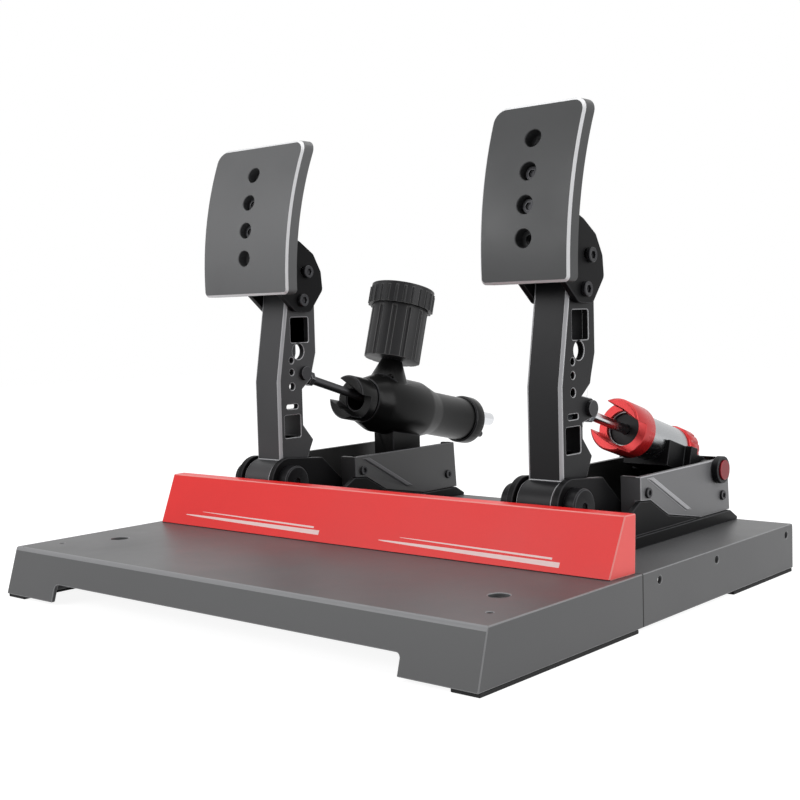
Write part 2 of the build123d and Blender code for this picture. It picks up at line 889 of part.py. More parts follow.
def arm(centre, pin_run, pin_rise):
    outline = [arm_point(s) for s in arm_front_shares + arm_top_shares + arm_rear_shares]
    left, right = centre - arm_half_width, centre + arm_half_width
    body = slab(outline, left, right)
    body = chamfer(front_edges(body, centre), arm_chamfer)
    body += rod_x(arm_lug_radius, left, right, pivot_y, pivot_z)
    far = pivot_y + 2 * arm_depth
    z0, z1 = (pivot_z + s * arm_rise for s in open_pocket_shares)
    body -= arm_cavity(centre, z0, z1, far)
    pockets = [(top_pocket_shares, top_pocket_depth_share), (low_pocket_shares, low_pocket_depth_share)]
    for heights, depth in pockets:
        z0, z1 = (pivot_z + s * arm_rise for s in heights)
        body -= arm_cavity(centre, z0, z1, arm_point((depth, 0))[0])
    for window in (top_window_shares, low_window_shares, slot_window_shares):
        hole = arm_box(centre, window, arm_half_width + cut_over)
        body -= fillet(hole.edges().filter_by(Axis.X), window_corner)
    for y_share, z_share, r_share in weight_hole_shares:
        y, z = arm_point((y_share, z_share))
        body -= hole_x(r_share * arm_rise, left, right, y, z)
    body += link_lugs(centre, pin_run, pin_rise)
    y, z = from_pivot(pin_run, pin_rise)
    body -= hole_x(link_pin_radius + thread_gap, left, right, y, z)
    body -= hole_x(axle_radius + thread_gap, left, right, pivot_y, pivot_z)
    for run, rise in carrier_screw_places():
        y, z = from_pivot(run, rise)
        for side, face in ((-1, left), (1, right)):
            body -= hole_x(carrier_screw_radius + thread_gap, face, face - side * carrier_screw_depth, y, z)
    return body


def front_edges(body, centre):
    """The long front corners of the arm, on both sides."""
    picked = []
    fronts = [arm_point(s) for s in arm_front_shares]
    for edge in body.edges():
        middle = edge.center()
        on_front = any(
            abs((middle.Y - a[0]) * (b[1] - a[1]) - (middle.Z - a[1]) * (b[0] - a[0])) < seat_gap
            and a[1] < middle.Z < b[1]
            for a, b in zip(fronts, fronts[1:])
        )
        if on_front and abs(abs(middle.X - centre) - arm_half_width) < seat_gap:
            picked.append(edge)
    return picked


def link_lugs(centre, pin_run, pin_rise):
    y, z = from_pivot(pin_run, pin_rise)
    root = pivot_y - arm_front_setback + arm_depth / 2
    outline = [
        (y, z + link_lug_radius),
        (root, z + link_lug_root),
        (root, z - link_lug_root),
        (y, z - link_lug_radius),
    ]
    lugs = None
    for side in (-1, 1):
        inner = centre + side * (arm_half_width - arm_web)
        outer = centre + side * arm_half_width
        lug = slab(outline, min(inner, outer), max(inner, outer)) + rod_x(link_lug_radius, inner, outer, y, z)
        lugs = lug if lugs is None else lugs + lug
    return lugs


def link_pin(centre, pin_run, pin_rise):
    """A bolt through the arm's lugs, its nut, and a spacer each side of the eye."""
    y, z = from_pivot(pin_run, pin_rise)
    wide = arm_half_width + link_pin_nut
    face = centre + arm_half_width
    bolt = rod_x(link_pin_radius, centre - wide, face + seat_gap, y, z)
    bolt += rod_x(link_pin_head_radius, face, face + link_pin_head, y, z)
    nut = nut_on(Pos(centre - wide, y, z) * Rot(0, 90, 0), link_pin_head_radius, link_pin_nut)
    nut -= rod_x(link_pin_radius + thread_gap, centre - wide - cut_over, centre, y, z)
    pieces = [bolt, nut]
    for side in (-1, 1):
        inner = centre + side * (eye_half_width + body_gap)
        outer = centre + side * (arm_half_width - arm_web - seat_gap)
        spacer = rod_x(spacer_radius, inner, outer, y, z)
        spacer -= rod_x(link_pin_radius + thread_gap, centre - wide, centre + wide, y, z)
        pieces.append(spacer)
    return pieces


def rod_end(line):
    """An eye on the link pin, its neck and the lock nut behind it."""
    eye = line * Rot(0, 90, 0) * Cylinder(eye_radius, 2 * eye_half_width)
    eye += rod_on(line, neck_radius, eye_radius / 2, neck_end)
    eye -= line * Rot(0, 90, 0) * Cylinder(link_pin_radius + eye_slack, 2 * eye_half_width + cut_over)
    eye -= rod_on(line, rod_radius + thread_gap, neck_end - neck_thread, neck_end + cut_over)
    nut = hex_on(line, lock_nut_radius, neck_end, neck_end + lock_nut)
    nut -= rod_on(line, rod_radius + thread_gap, neck_end - cut_over, neck_end + lock_nut + cut_over)
    return [eye, nut]


def collar(line, radius, bore, seat, seat_start, front, prong, end, slot_half):
    """A cupped collar round the rod, slotted across its front into two prongs."""
    ring = rod_on(line, radius, front, end)
    ring = chamfer(ring.edges().filter_by(GeomType.CIRCLE), edge_chamfer)
    ring -= rod_on(line, bore, front - cut_over, end)
    ring -= rod_on(line, seat + shaft_gap, seat_start, end + cut_over)
    slot = Box(2 * radius + cut_over, 2 * slot_half, prong + cut_over, align=BASE)
    ring -= line * Pos(0, 0, front - cut_over) * Rot(0, 0, collar_turn) * slot
    return ring


# Throttle damper
def trunnion_place():
    y, z = from_pivot(throttle_pin_run, throttle_pin_rise)
    along, drop = trunnion_reach, trunnion_drop
    y += along * math.cos(throttle_tilt) - drop * math.sin(throttle_tilt)
    z -= along * math.sin(throttle_tilt) + drop * math.cos(throttle_tilt)
    return y, z


def damper_tube(line):
    tube = rod_on(line, damper_radius, damper_start, damper_end)
    tube -= rod_on(line, damper_bore_radius, damper_start - cut_over, damper_end - damper_plug)
    plug = damper_end - damper_plug
    return tube - rod_on(line, adjuster_spindle_radius + body_gap, plug - cut_over, damper_end + cut_over)


def damper_gland(line):
    start = damper_start + gland_inset
    gland = rod_on(line, damper_bore_radius - shaft_gap, start, start + gland_length)
    return gland - rod_on(line, rod_radius + shaft_gap, start - cut_over, start + gland_length + cut_over)


def damper_piston(line):
    end = damper_piston_start + piston_length
    return rod_on(line, damper_bore_radius - shaft_gap, damper_piston_start, end)


def throttle_rod(line):
    return rod_on(line, rod_radius, neck_end - neck_thread + body_gap, damper_piston_start)


def damper_spring(line):
    start = damper_piston_start + piston_length + spring_wire + spring_gap
    end = damper_end - damper_plug - spring_wire - spring_gap
    return line * Pos(0, 0, start) * coil(spring_radius, spring_wire, end - start, spring_turns)


def adjuster(line):
    ring = rod_on(line, adjuster_radius, adjuster_start, adjuster_end)
    ring = chamfer(ring.edges().filter_by(GeomType.CIRCLE), edge_chamfer)
    flute_start = adjuster_start + adjuster_rim
    for index in range(adjuster_flutes):
        angle = 360 * index / adjuster_flutes
        place = line * Rot(0, 0, angle) * Pos(adjuster_radius + adjuster_flute_lift, 0, flute_start)
        ring -= place * Cylinder(adjuster_flute_radius, adjuster_end, align=BASE)
    return ring + rod_on(line, adjuster_spindle_radius, damper_end - damper_plug, flute_start)


def cradle(line):
    """A saddle under the damper, with a lug each side on the trunnion pins."""
    saddle_end = damper_end
    cross_start = saddle_end - cradle_cross
    hung = (Align.CENTER, Align.MIN, Align.MIN)
    saddle = Box(2 * cradle_lug_inner, cradle_drop, cross_start - cradle_start, align=hung)
    body = line * Pos(0, 0, cradle_start) * saddle
    body += line * Pos(0, 0, cross_start) * Box(2 * cradle_lug_outer, cradle_drop, cradle_cross, align=hung)
    lug_top = trunnion_drop - cradle_lug_radius
    lug_wide = cradle_lug_outer - cradle_lug_inner
    for side in (-1, 1):
        middle = side * (cradle_lug_inner + cradle_lug_outer) / 2
        plate = Box(lug_wide, cradle_drop - lug_top, trunnion_reach - cross_start, align=hung)
        body += line * Pos(middle, lug_top, cross_start) * plate
        pin_place = line * Pos(middle, trunnion_drop, trunnion_reach) * Rot(0, 90, 0)
        body += pin_place * Cylinder(cradle_lug_radius, lug_wide)
        body -= pin_place * Cylinder(trunnion_radius + shaft_gap, lug_wide + cut_over)
    return body - rod_on(line, damper_radius + seat_gap, cradle_start - cut_over, saddle_end + cut_over)


def trunnion_pins(centre):
    y, z = trunnion_place()
    pins = []
    for side in (-1, 1):
        inner = centre + side * (cradle_lug_inner + body_gap)
        shoulder = centre + side * (cradle_lug_outer + body_gap)
        wall_in = centre + side * (housing_half_width - housing_wall)
        wall = centre + side * housing_half_width
        head = wall + side * trunnion_head
        pin = rod_x(trunnion_radius, inner, wall, y, z)
        pin += rod_x(trunnion_shoulder_radius, shoulder, wall_in, y, z)
        pin += rod_x(trunnion_head_radius, wall, head, y, z)
        seat = head - side * trunnion_button
        pin -= rod_x(trunnion_button_radius + seat_gap, seat, head + side * cut_over, y, z)
        pins.append(pin)
    return pins


def trunnion_buttons(centre):
    y, z = trunnion_place()
    buttons = []
    for side in (-1, 1):
        head = centre + side * (housing_half_width + trunnion_head)
        seat, face = head - side * trunnion_button, head + side * trunnion_button
        buttons.append(rod_x(trunnion_button_radius, seat, face, y, z))
    return buttons


# Master cylinder
def master_cylinder(centre, line):
    body = rod_on(line, spigot_radius, spigot_start, brake_collar_end + body_gap)
    nose = brake_collar_end + body_gap
    body += line * Pos(0, 0, nose) * Cone(boss_nose_radius, boss_radius, boss_start - nose, align=BASE)
    body += rod_on(line, boss_radius, boss_start, boss_end)
    body += line * Pos(0, 0, boss_end) * Cone(boss_radius, cylinder_radius, taper_end - boss_end, align=BASE)
    body += rod_on(line, cylinder_radius, taper_end, cylinder_end)
    up = reservoir_line(line)
    body += up * Pos(0, 0, neck_root_rise) * Cone(
        neck_root_radius, neck_ring_radius, reservoir_neck_top - neck_root_rise, align=BASE
    )
    pad_top = base_top + bridge_rise + bridge_thickness
    y0, y1 = pivot_y + foot_front_run, pivot_y + foot_rear_run
    body += block(centre - foot_half_width, centre + foot_half_width, y0, y1, pad_top, pad_top + foot_thick)
    web_outline = [
        (y0, pad_top),
        (y1, pad_top),
        (y1, line_height(line, y1)),
        (y0, line_height(line, y0)),
    ]
    body += slab(web_outline, centre - web_half, centre + web_half)
    body -= rod_on(line, cylinder_bore_radius + shaft_gap, spigot_start - cut_over, cylinder_bore_end)
    body -= rod_on(up, port_radius, 0, reservoir_neck_top + cut_over)
    for x, y in foot_bolt_places(centre):
        body -= hole_z(foot_bolt_radius + bolt_gap, x, y, pad_top, pad_top + foot_thick)
    return body


def line_height(line, y):
    """The height of a line's axis above a place along Y."""
    start, run = line.position, Plane(line).z_dir
    return start.Z + (y - start.Y) * run.Z / run.Y


def foot_bolts(centre):
    top = base_top + bridge_rise + bridge_thickness + foot_thick
    bolts = []
    for x, y in foot_bolt_places(centre):
        length = foot_thick + bridge_thickness
        head = (foot_bolt_head_radius, foot_bolt_head)
        bolts.append(socket_screw(Pos(x, y, top), foot_bolt_radius, length, *head))
    return bolts


def end_cap(line):
    cap = rod_on(line, end_cap_radius, cylinder_end, end_cap_end)
    cap = chamfer(cap.edges().filter_by(GeomType.CIRCLE), edge_chamfer)
    past = end_cap_end + cut_over
    cap -= rod_on(sensor_line(line), sensor_radius + thread_gap, end_cap_end - sensor_thread, past)
    cap -= rod_on(nipple_line(line), nipple_radius + thread_gap, end_cap_end - nipple_thread, past)
    return cap


def sensor_line(line):
    return line * Pos(0, -sensor_lift, 0)


def nipple_line(line):
    return line * Pos(0, nipple_drop, 0)


def pressure_sensor(line):
    place = sensor_line(line)
    body = rod_on(place, sensor_radius, end_cap_end - sensor_thread, sensor_end)
    return body + hex_on(place, sensor_hex_radius, end_cap_end, end_cap_end + sensor_hex)


def bleed_nipple(line):
    place = nipple_line(line)
    body = rod_on(place, nipple_radius, end_cap_end - nipple_thread, nipple_end)
    return body + hex_on(place, nipple_nut_radius, end_cap_end, end_cap_end + nipple_nut)


def brake_piston(line):
    piston = rod_on(line, cylinder_bore_radius, brake_piston_start, brake_piston_end)
    for start in seal_places():
        ring = rod_on(line, cylinder_bore_radius + cut_over, start, start + seal_width)
        floor = cylinder_bore_radius - seal_height
        ring -= rod_on(line, floor, start - cut_over, start + seal_width + cut_over)
        piston -= ring
    centre = line * Pos(0, 0, ball_reach)
    cup_radius = ball_radius + ball_cup_gap
    mouth_radius = cylinder_bore_radius - seal_height
    mouth = Cone(cup_radius, mouth_radius, ball_reach - brake_piston_start + cut_over, align=BASE)
    return piston - centre * Sphere(cup_radius) - centre * Rot(180, 0, 0) * mouth


def seal_places():
    return [ball_reach + front_seal_reach, brake_piston_end - rear_seal_reach]


def piston_seals(line):
    rings = []
    for start in seal_places():
        ring = rod_on(line, cylinder_bore_radius, start + seat_gap, start + seal_width - seat_gap)
        ring -= rod_on(line, cylinder_bore_radius - seal_height + seat_gap, start, start + seal_width)
        rings.append(ring)
    return rings


def push_rod(line):
    """The rod from the arm's pin to the ball in the piston's cup."""
    rod = rod_on(line, rod_radius, neck_end - neck_thread + body_gap, rod_reach)
    return rod + line * Pos(0, 0, rod_reach) * Sphere(ball_radius)


def brake_spring(line):
    start = brake_piston_end + brake_spring_wire + spring_gap
    end = cylinder_bore_end - brake_spring_wire - spring_gap
    place = line * Pos(0, 0, start)
    return place * coil(brake_spring_radius, brake_spring_wire, end - start, brake_spring_turns)


# Reservoir
def reservoir_line(line):
    """Its Z runs up the reservoir, from the cylinder's axis."""
    lean = math.radians(reservoir_lean)
    foot = (line * Pos(0, 0, reservoir_reach)).position
    return Plane(origin=foot, x_dir=(1, 0, 0), z_dir=(0, math.sin(lean), math.cos(lean))).location


def reservoir(line):
    up = reservoir_line(line)
    low = reservoir_neck_top + seat_gap
    pot = rod_on(up, reservoir_radius, low, reservoir_top)
    for index in range(reservoir_flutes):
        angle = 360 * index / reservoir_flutes
        place = up * Rot(0, 0, angle) * Pos(reservoir_radius + reservoir_flute_radius / 2, 0, low)
        flute = reservoir_cap_start - low - reservoir_wall
        pot -= place * Cylinder(reservoir_flute_radius, flute, align=BASE)
    pot -= rod_on(up, reservoir_radius - 2 * reservoir_wall, low + reservoir_floor, reservoir_top + cut_over)
    pot -= rod_on(up, port_radius, low - cut_over, low + reservoir_floor + cut_over)
    return pot


def reservoir_cap(line):
    up = reservoir_line(line)
    cap = rod_on(up, reservoir_cap_radius - reservoir_rib_radius, reservoir_cap_start, reservoir_cap_end)
    rib_height = reservoir_cap_end - reservoir_cap_start - reservoir_cap_wall
    for index in range(reservoir_cap_ribs):
        angle = 360 * index / reservoir_cap_ribs
        out = reservoir_cap_radius - reservoir_rib_radius
        place = up * Rot(0, 0, angle) * Pos(out, 0, reservoir_cap_start)
        cap += place * Cylinder(reservoir_rib_radius, rib_height, align=BASE)
    top = reservoir_top + diaphragm_thickness + body_gap
    cap -= rod_on(up, reservoir_radius + body_gap, reservoir_cap_start - cut_over, top)
    return cap


def diaphragm(line):
    up = reservoir_line(line)
    disc = rod_on(up, reservoir_radius - seat_gap, reservoir_top, reservoir_top + diaphragm_thickness)
    return disc


# Pads and carriers
pad_bottom = pivot_z + pad_bottom_rise
pad_face_y = pivot_y - pad_front_setback
pad_centre_y = pad_face_y + pad_face_radius
pad_centre_z = pad_bottom + pad_tangent_rise


def curved_plate(centre, half, outer, inner, z0, z1):
    """A plate whose face bends about a far axis along X."""
    reach = 2 * half
    skin = rod_x(outer, centre - half, centre + half, pad_centre_y, pad_centre_z)
    skin -= rod_x(inner, centre - half - cut_over, centre + half + cut_over, pad_centre_y, pad_centre_z)
    front = pad_centre_y - outer
    keep = block(centre - reach, centre + reach, front - cut_over, front + outer / 2, z0, z1)
    return skin & keep


def pad_hole_places():
    """Each hole's height, and its tilt on the curved face."""
    places = []
    for index in range(pad_hole_count):
        z = pad_bottom + pad_first_hole + index * pad_hole_pitch
        places.append((z, math.asin((z - pad_centre_z) / pad_face_radius)))
    return places


def pad_hole(centre, index, radius, start, end):
    """A round cut square to the pad's face, from start to end below the face."""
    angle = pad_hole_places()[index][1]
    out = (0, -math.cos(angle), math.sin(angle))
    y = pad_centre_y + pad_face_radius * out[1]
    z = pad_centre_z + pad_face_radius * out[2]
    place = Plane(origin=(centre, y, z), x_dir=(1, 0, 0), z_dir=out).location
    return place * Pos(0, 0, -end) * Cylinder(radius, end - start, align=BASE)


def pad(centre, width):
    half, top_half = width / 2 - pad_flare, width / 2
    top = pad_bottom + pad_height
    plate = curved_plate(centre, top_half, pad_face_radius, pad_face_radius - pad_thickness, pad_bottom, top)
    corners = [
        (centre - half, pad_bottom),
        (centre + half, pad_bottom),
        (centre + top_half, top),
        (centre - top_half, top),
    ]
    outline = make_face(Polyline(*corners, close=True))
    outline = fillet([v for v in outline.vertices() if v.Y < pad_bottom + seat_gap], pad_foot_corner)
    high = [v for v in outline.vertices() if v.Y > top - seat_gap]
    outline = fillet(high, pad_corner)
    plate = plate & extrude(Plane.XZ * outline, amount=2 * pad_face_radius, both=True)
    face = plate.faces().filter_by(GeomType.CYLINDER).sort_by(Axis.Y)[0]
    plate = chamfer(face.edges(), pad_chamfer)
    for index in range(pad_hole_count):
        plate -= pad_hole(centre, index, pad_hole_radius, -cut_over, pad_thickness - pad_web)
        plate -= pad_hole(centre, index, pad_screw_radius + bolt_gap, 0, pad_thickness + cut_over)
    return plate


def pad_screws(centre):
    screws = []
    for index in (1, 2):
        angle = pad_hole_places()[index][1]
        out = (0, -math.cos(angle), math.sin(angle))
        reach = pad_face_radius - pad_thickness + pad_web
        seat = (centre, pad_centre_y + reach * out[1], pad_centre_z + reach * out[2])
        place = Plane(origin=seat, x_dir=(1, 0, 0), z_dir=out).location
        length = pad_web + carrier_plate + pad_screw_tail
        screws.append(socket_screw(place, pad_screw_radius, length, pad_screw_head_radius, pad_screw_head))
    return screws


def carrier_screw_places():
    return [(tilt_run, tilt_rise), (lock_run, lock_rise)]


def pad_carrier(centre):
    outer = pad_face_radius - pad_thickness - seat_gap
    z0, z1 = pad_bottom + carrier_bottom_gap, pad_bottom + pad_height - carrier_top_gap
    body = curved_plate(centre, carrier_half_width, outer, outer - carrier_plate, z0, z1)
    tilt_y, tilt_z = from_pivot(tilt_run, tilt_rise)
    plate_y = pad_centre_y - outer + carrier_plate / 2
    outline = [(tilt_y + a * carrier_ear_size, tilt_z + b * carrier_ear_size) for a, b in carrier_ear_shares]
    root_top = outline[-1][1]
    outline[0] = (plate_y, z0 + carrier_bottom_gap)
    outline[-1] = (plate_y, root_top)
    for side in (-1, 1):
        inner = centre + side * carrier_ear_inner
        outer_x = centre + side * carrier_half_width
        ear = slab(outline, min(inner, outer_x), max(inner, outer_x))
        corners = [e for e in ear.edges().filter_by(Axis.X) if e.center().Y > plate_y + carrier_ear_corner]
        body += fillet(corners, carrier_ear_corner) - curved_front(centre, outer, z0)
    past = pad_thickness + seat_gap + carrier_plate + cut_over
    for index in range(pad_hole_count):
        body -= pad_hole(centre, index, pad_screw_radius + thread_gap, pad_thickness - cut_over, past)
    wide = carrier_half_width + cut_over
    body -= rod_x(carrier_screw_radius + shaft_gap, centre - wide, centre + wide, tilt_y, tilt_z)
    return body - tilt_slot(centre, wide)


def tilt_slot(centre, wide):
    """An arc about the tilt screws, for the lock screws to pass through."""
    y, z = from_pivot(tilt_run, tilt_rise)
    reach = math.hypot(lock_run - tilt_run, lock_rise - tilt_rise)
    middle = math.atan2(lock_rise - tilt_rise, lock_run - tilt_run)
    half = carrier_screw_radius + bolt_gap
    turn = math.radians(tilt_travel)
    slot = rod_x(reach + half, centre - wide, centre + wide, y, z)
    slot -= rod_x(reach - half, centre - wide - cut_over, centre + wide + cut_over, y, z)
    far = 2 * reach
    rays = (middle - turn, middle + turn)
    wedge = [(y, z)] + [(y + far * math.cos(ray), z + far * math.sin(ray)) for ray in rays]
    slot = slot & slab(wedge, centre - wide, centre + wide)
    for angle in (middle - turn, middle + turn):
        end_y, end_z = y + reach * math.cos(angle), z + reach * math.sin(angle)
        slot += rod_x(half, centre - wide, centre + wide, end_y, end_z)
    return slot


def curved_front(centre, outer, z0):
    """Everything in front of the carrier plate's face."""
    left, right = centre - carrier_half_width - cut_over, centre + carrier_half_width + cut_over
    front = pad_centre_y - outer
    room = block(left, right, front - pad_height, front + outer / 2, z0 - pad_height, z0 + 2 * pad_height)
    return room - hole_x(outer, left, right, pad_centre_y, pad_centre_z)


def carrier_screws(centre):
    screws = []
    for run, rise in carrier_screw_places():
        y, z = from_pivot(run, rise)
        for side in (-1, 1):
            place = Pos(centre + side * carrier_half_width, y, z) * Rot(0, side * 90, 0)
            length = carrier_half_width - arm_half_width + carrier_screw_depth
            head = (carrier_screw_head_radius, carrier_screw_head)
            screws.append(socket_screw(place, carrier_screw_radius, length, *head))
    return screws


# Electronics
def angle_magnet(centre):
    end = centre - axle_end
    return rod_x(magnet_radius, end - magnet_thickness, end, pivot_y, pivot_z)


def sensor_board(centre):
    face = centre - axle_end - magnet_thickness - board_gap
    return rod_x(board_radius, face - board_thickness, face, pivot_y, pivot_z)


def cable_socket(centre):
    x0, x1, z0, z1 = socket_opening(centre, seat_gap)
    rear = pivot_y + housing_rear_run
    body = block(x0, x1, rear - socket_depth, rear, z0, z1)
    x0, x1, z0, z1 = socket_opening(centre, seat_gap + socket_wall)
    return body - block(x0, x1, rear - socket_depth + socket_floor, rear + cut_over, z0, z1)


def write(name, shape):
    solids = []
    for piece in shape if isinstance(shape, list) else [shape]:
        solids.extend(piece.solids())
    whole = solids[0] if len(solids) == 1 else Compound(children=solids)
    whole.label = name
    export_step(whole, os.path.join("parts", name + ".step"))
    print(name, len(solids), round(sum(s.volume for s in solids)))


def module(prefix, centre, pin_run, pin_rise, pad_width, is_throttle):
    write(prefix + "_pivot_bracket", bracket(centre, not is_throttle))
    write(prefix + "_housing", housing(centre, is_throttle))
    write(prefix + "_axle", axle(centre))
    write(prefix + "_bearings", bearings(centre))
    write(prefix + "_axle_caps", axle_caps(centre))
    write(prefix + "_arm", arm(centre, pin_run, pin_rise))
    write(prefix + "_link_pin", link_pin(centre, pin_run, pin_rise))
    write(prefix + "_pad_carrier", pad_carrier(centre))
    write(prefix + "_carrier_screws", carrier_screws(centre))
    write(prefix + "_pad", pad(centre, pad_width))
    write(prefix + "_pad_screws", pad_screws(centre))
    write(prefix + "_cable_socket", cable_socket(centre))


def throttle():
    line = link_line(throttle_x, throttle_pin_run, throttle_pin_rise, throttle_tilt)
    module("throttle", throttle_x, throttle_pin_run, throttle_pin_rise, throttle_pad_width, True)
    write("throttle_rod_end", rod_end(line))
    write("throttle_rod", throttle_rod(line))
    ring = collar(
        line,
        collar_radius,
        collar_bore_radius,
        damper_radius,
        damper_start - body_gap,
        collar_front,
        collar_prong,
        collar_end,
        collar_slot_half,
    )
    write("throttle_collar", ring)
    write("damper_tube", damper_tube(line))
    write("damper_gland", damper_gland(line))
    write("damper_piston", damper_piston(line))
    write("damper_spring", damper_spring(line))
    write("damper_adjuster", adjuster(line))
    write("damper_cradle", cradle(line))
    write("trunnion_pins", trunnion_pins(throttle_x))
    write("trunnion_buttons", trunnion_buttons(throttle_x))
    write("angle_magnet", angle_magnet(throttle_x))
    write("angle_sensor_board", sensor_board(throttle_x))


def brake():
    rod_line = link_line(brake_x, brake_pin_run, brake_pin_rise, brake_tilt + swing)
    line = link_line(brake_x, brake_pin_run, brake_pin_rise, brake_tilt) * Pos(0, brake_axis_drop, 0)
    module("brake", brake_x, brake_pin_run, brake_pin_rise, brake_pad_width, False)
    write("brake_rod_end", rod_end(rod_line))
    write("brake_push_rod", push_rod(rod_line))
    ring = collar(
        line,
        brake_collar_radius,
        brake_collar_bore_radius,
        spigot_radius,
        spigot_start - body_gap,
        brake_collar_front,
        brake_collar_prong,
        brake_collar_end,
        brake_collar_slot_half,
    )
    write("brake_collar", ring)
    write("master_cylinder", master_cylinder(brake_x, line))
    write("cylinder_foot_bolts", foot_bolts(brake_x))
    write("cylinder_end_cap", end_cap(line))
    write("pressure_sensor", pressure_sensor(line))
    write("bleed_nipple", bleed_nipple(line))
    write("brake_piston", brake_piston(line))
    write("piston_seals", piston_seals(line))
    write("piston_spring", brake_spring(line))
    write("reservoir", reservoir(line))
    write("reservoir_cap", reservoir_cap(line))
    write("reservoir_diaphragm", diaphragm(line))


os.makedirs("parts", exist_ok=True)
write("front_plate", front_plate())
write("rear_plate", rear_plate())
write("rubber_feet", rubber_feet())
write("seam_bolts", seam_bolts())
write("heel_stop", heel_stop())
write("heel_stop_screws", heel_screws())
write("mount_bolts", mount_bolts(brake_x) + mount_bolts(throttle_x))
write("housing_screws", housing_screws(brake_x) + housing_screws(throttle_x))
throttle()
brake()
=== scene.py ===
import json
import math

import bmesh
import bpy
from mathutils import Matrix, Vector

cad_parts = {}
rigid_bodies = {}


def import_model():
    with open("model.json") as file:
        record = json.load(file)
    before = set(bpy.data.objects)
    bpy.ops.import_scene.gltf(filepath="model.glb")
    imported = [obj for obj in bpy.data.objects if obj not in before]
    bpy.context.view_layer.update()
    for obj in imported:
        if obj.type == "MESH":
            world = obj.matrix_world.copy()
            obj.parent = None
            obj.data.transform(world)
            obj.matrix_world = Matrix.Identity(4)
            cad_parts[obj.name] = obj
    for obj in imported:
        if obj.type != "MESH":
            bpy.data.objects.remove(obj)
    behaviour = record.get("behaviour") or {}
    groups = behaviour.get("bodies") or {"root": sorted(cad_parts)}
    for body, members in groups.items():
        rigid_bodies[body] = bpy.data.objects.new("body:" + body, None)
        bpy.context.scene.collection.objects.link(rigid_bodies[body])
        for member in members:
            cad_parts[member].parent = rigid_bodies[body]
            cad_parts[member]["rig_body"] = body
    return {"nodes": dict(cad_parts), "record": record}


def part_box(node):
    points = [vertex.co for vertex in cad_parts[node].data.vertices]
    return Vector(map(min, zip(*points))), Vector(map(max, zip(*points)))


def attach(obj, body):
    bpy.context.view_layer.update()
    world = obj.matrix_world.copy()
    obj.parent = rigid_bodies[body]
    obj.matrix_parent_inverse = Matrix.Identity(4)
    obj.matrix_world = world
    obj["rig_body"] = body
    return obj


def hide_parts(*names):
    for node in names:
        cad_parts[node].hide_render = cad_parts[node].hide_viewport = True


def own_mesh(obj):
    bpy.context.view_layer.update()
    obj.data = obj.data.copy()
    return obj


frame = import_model()
nodes = frame["nodes"]
joints = {joint["name"]: joint for joint in frame["record"]["behaviour"]["joints"]}
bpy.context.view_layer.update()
scene = bpy.context.scene


# The camera stands in front of the throttle's side, a little above the heel stop, and looks across the set.
# Its place, turn and lens were solved from the plate's corners and edges in the photograph.
# Its distance in front is taken from the plate's top front edge, the rest from the set's middle on the floor.
front_rake = 0.0095
plate_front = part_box("front_plate")[0].y + front_rake
camera_place = Vector((0.5891, plate_front - 0.5079, 0.1923))
camera_yaw = math.radians(40.48)
camera_pitch = math.radians(3.75)
camera_roll = math.radians(-1.51)
camera_lens = 57.2
sensor_width = 36.0


def placed(name, data):
    """A camera, lamp or mesh as an object in the scene, at the origin."""
    made = bpy.data.objects.new(name, data)
    scene.collection.objects.link(made)
    return made


camera_data = bpy.data.cameras.new("camera")
camera_data.lens = camera_lens
camera_data.sensor_width = sensor_width
camera = placed("camera", camera_data)
turn = Matrix.Rotation(camera_yaw, 4, "Z") @ Matrix.Rotation(math.pi / 2 - camera_pitch, 4, "X")
camera.matrix_world = Matrix.Translation(camera_place) @ turn @ Matrix.Rotation(camera_roll, 4, "Z")
scene.camera = camera
scene.view_settings.view_transform = "Standard"


# A white studio: a pale room, with soft lamps above, on the right and in front on the left.
# The floor and the room show white to the camera, to gloss and to glass, and the floor keeps a faint shadow.
room_grey = (0.75, 0.76, 0.78, 1.0)
room_strength = 0.55
floor_size = 6.0
floor_glow = 0.9
floor_albedo = 0.3
floor_bounce = 0.6


def rays_that_see_white(tree):
    """One where the ray comes from the camera, from gloss or from glass, else nought."""
    path = tree.nodes.new("ShaderNodeLightPath")
    last = path.outputs["Is Camera Ray"]
    for kind in ("Is Glossy Ray", "Is Transmission Ray"):
        larger = tree.nodes.new("ShaderNodeMath")
        larger.operation = "MAXIMUM"
        tree.links.new(last, larger.inputs[0])
        tree.links.new(path.outputs[kind], larger.inputs[1])
        last = larger.outputs["Value"]
    return last


world = bpy.data.worlds.new("studio")
scene.world = world
world.use_nodes = True
tree = world.node_tree
tree.nodes.clear()
room = tree.nodes.new("ShaderNodeBackground")
room.inputs["Color"].default_value = room_grey
room.inputs["Strength"].default_value = room_strength
white = tree.nodes.new("ShaderNodeBackground")
white.inputs["Color"].default_value = (1, 1, 1, 1)
white.inputs["Strength"].default_value = 1.0
choose = tree.nodes.new("ShaderNodeMixShader")
tree.links.new(rays_that_see_white(tree), choose.inputs[0])
tree.links.new(room.outputs[0], choose.inputs[1])
tree.links.new(white.outputs[0], choose.inputs[2])
out = tree.nodes.new("ShaderNodeOutputWorld")
tree.links.new(choose.outputs[0], out.inputs["Surface"])

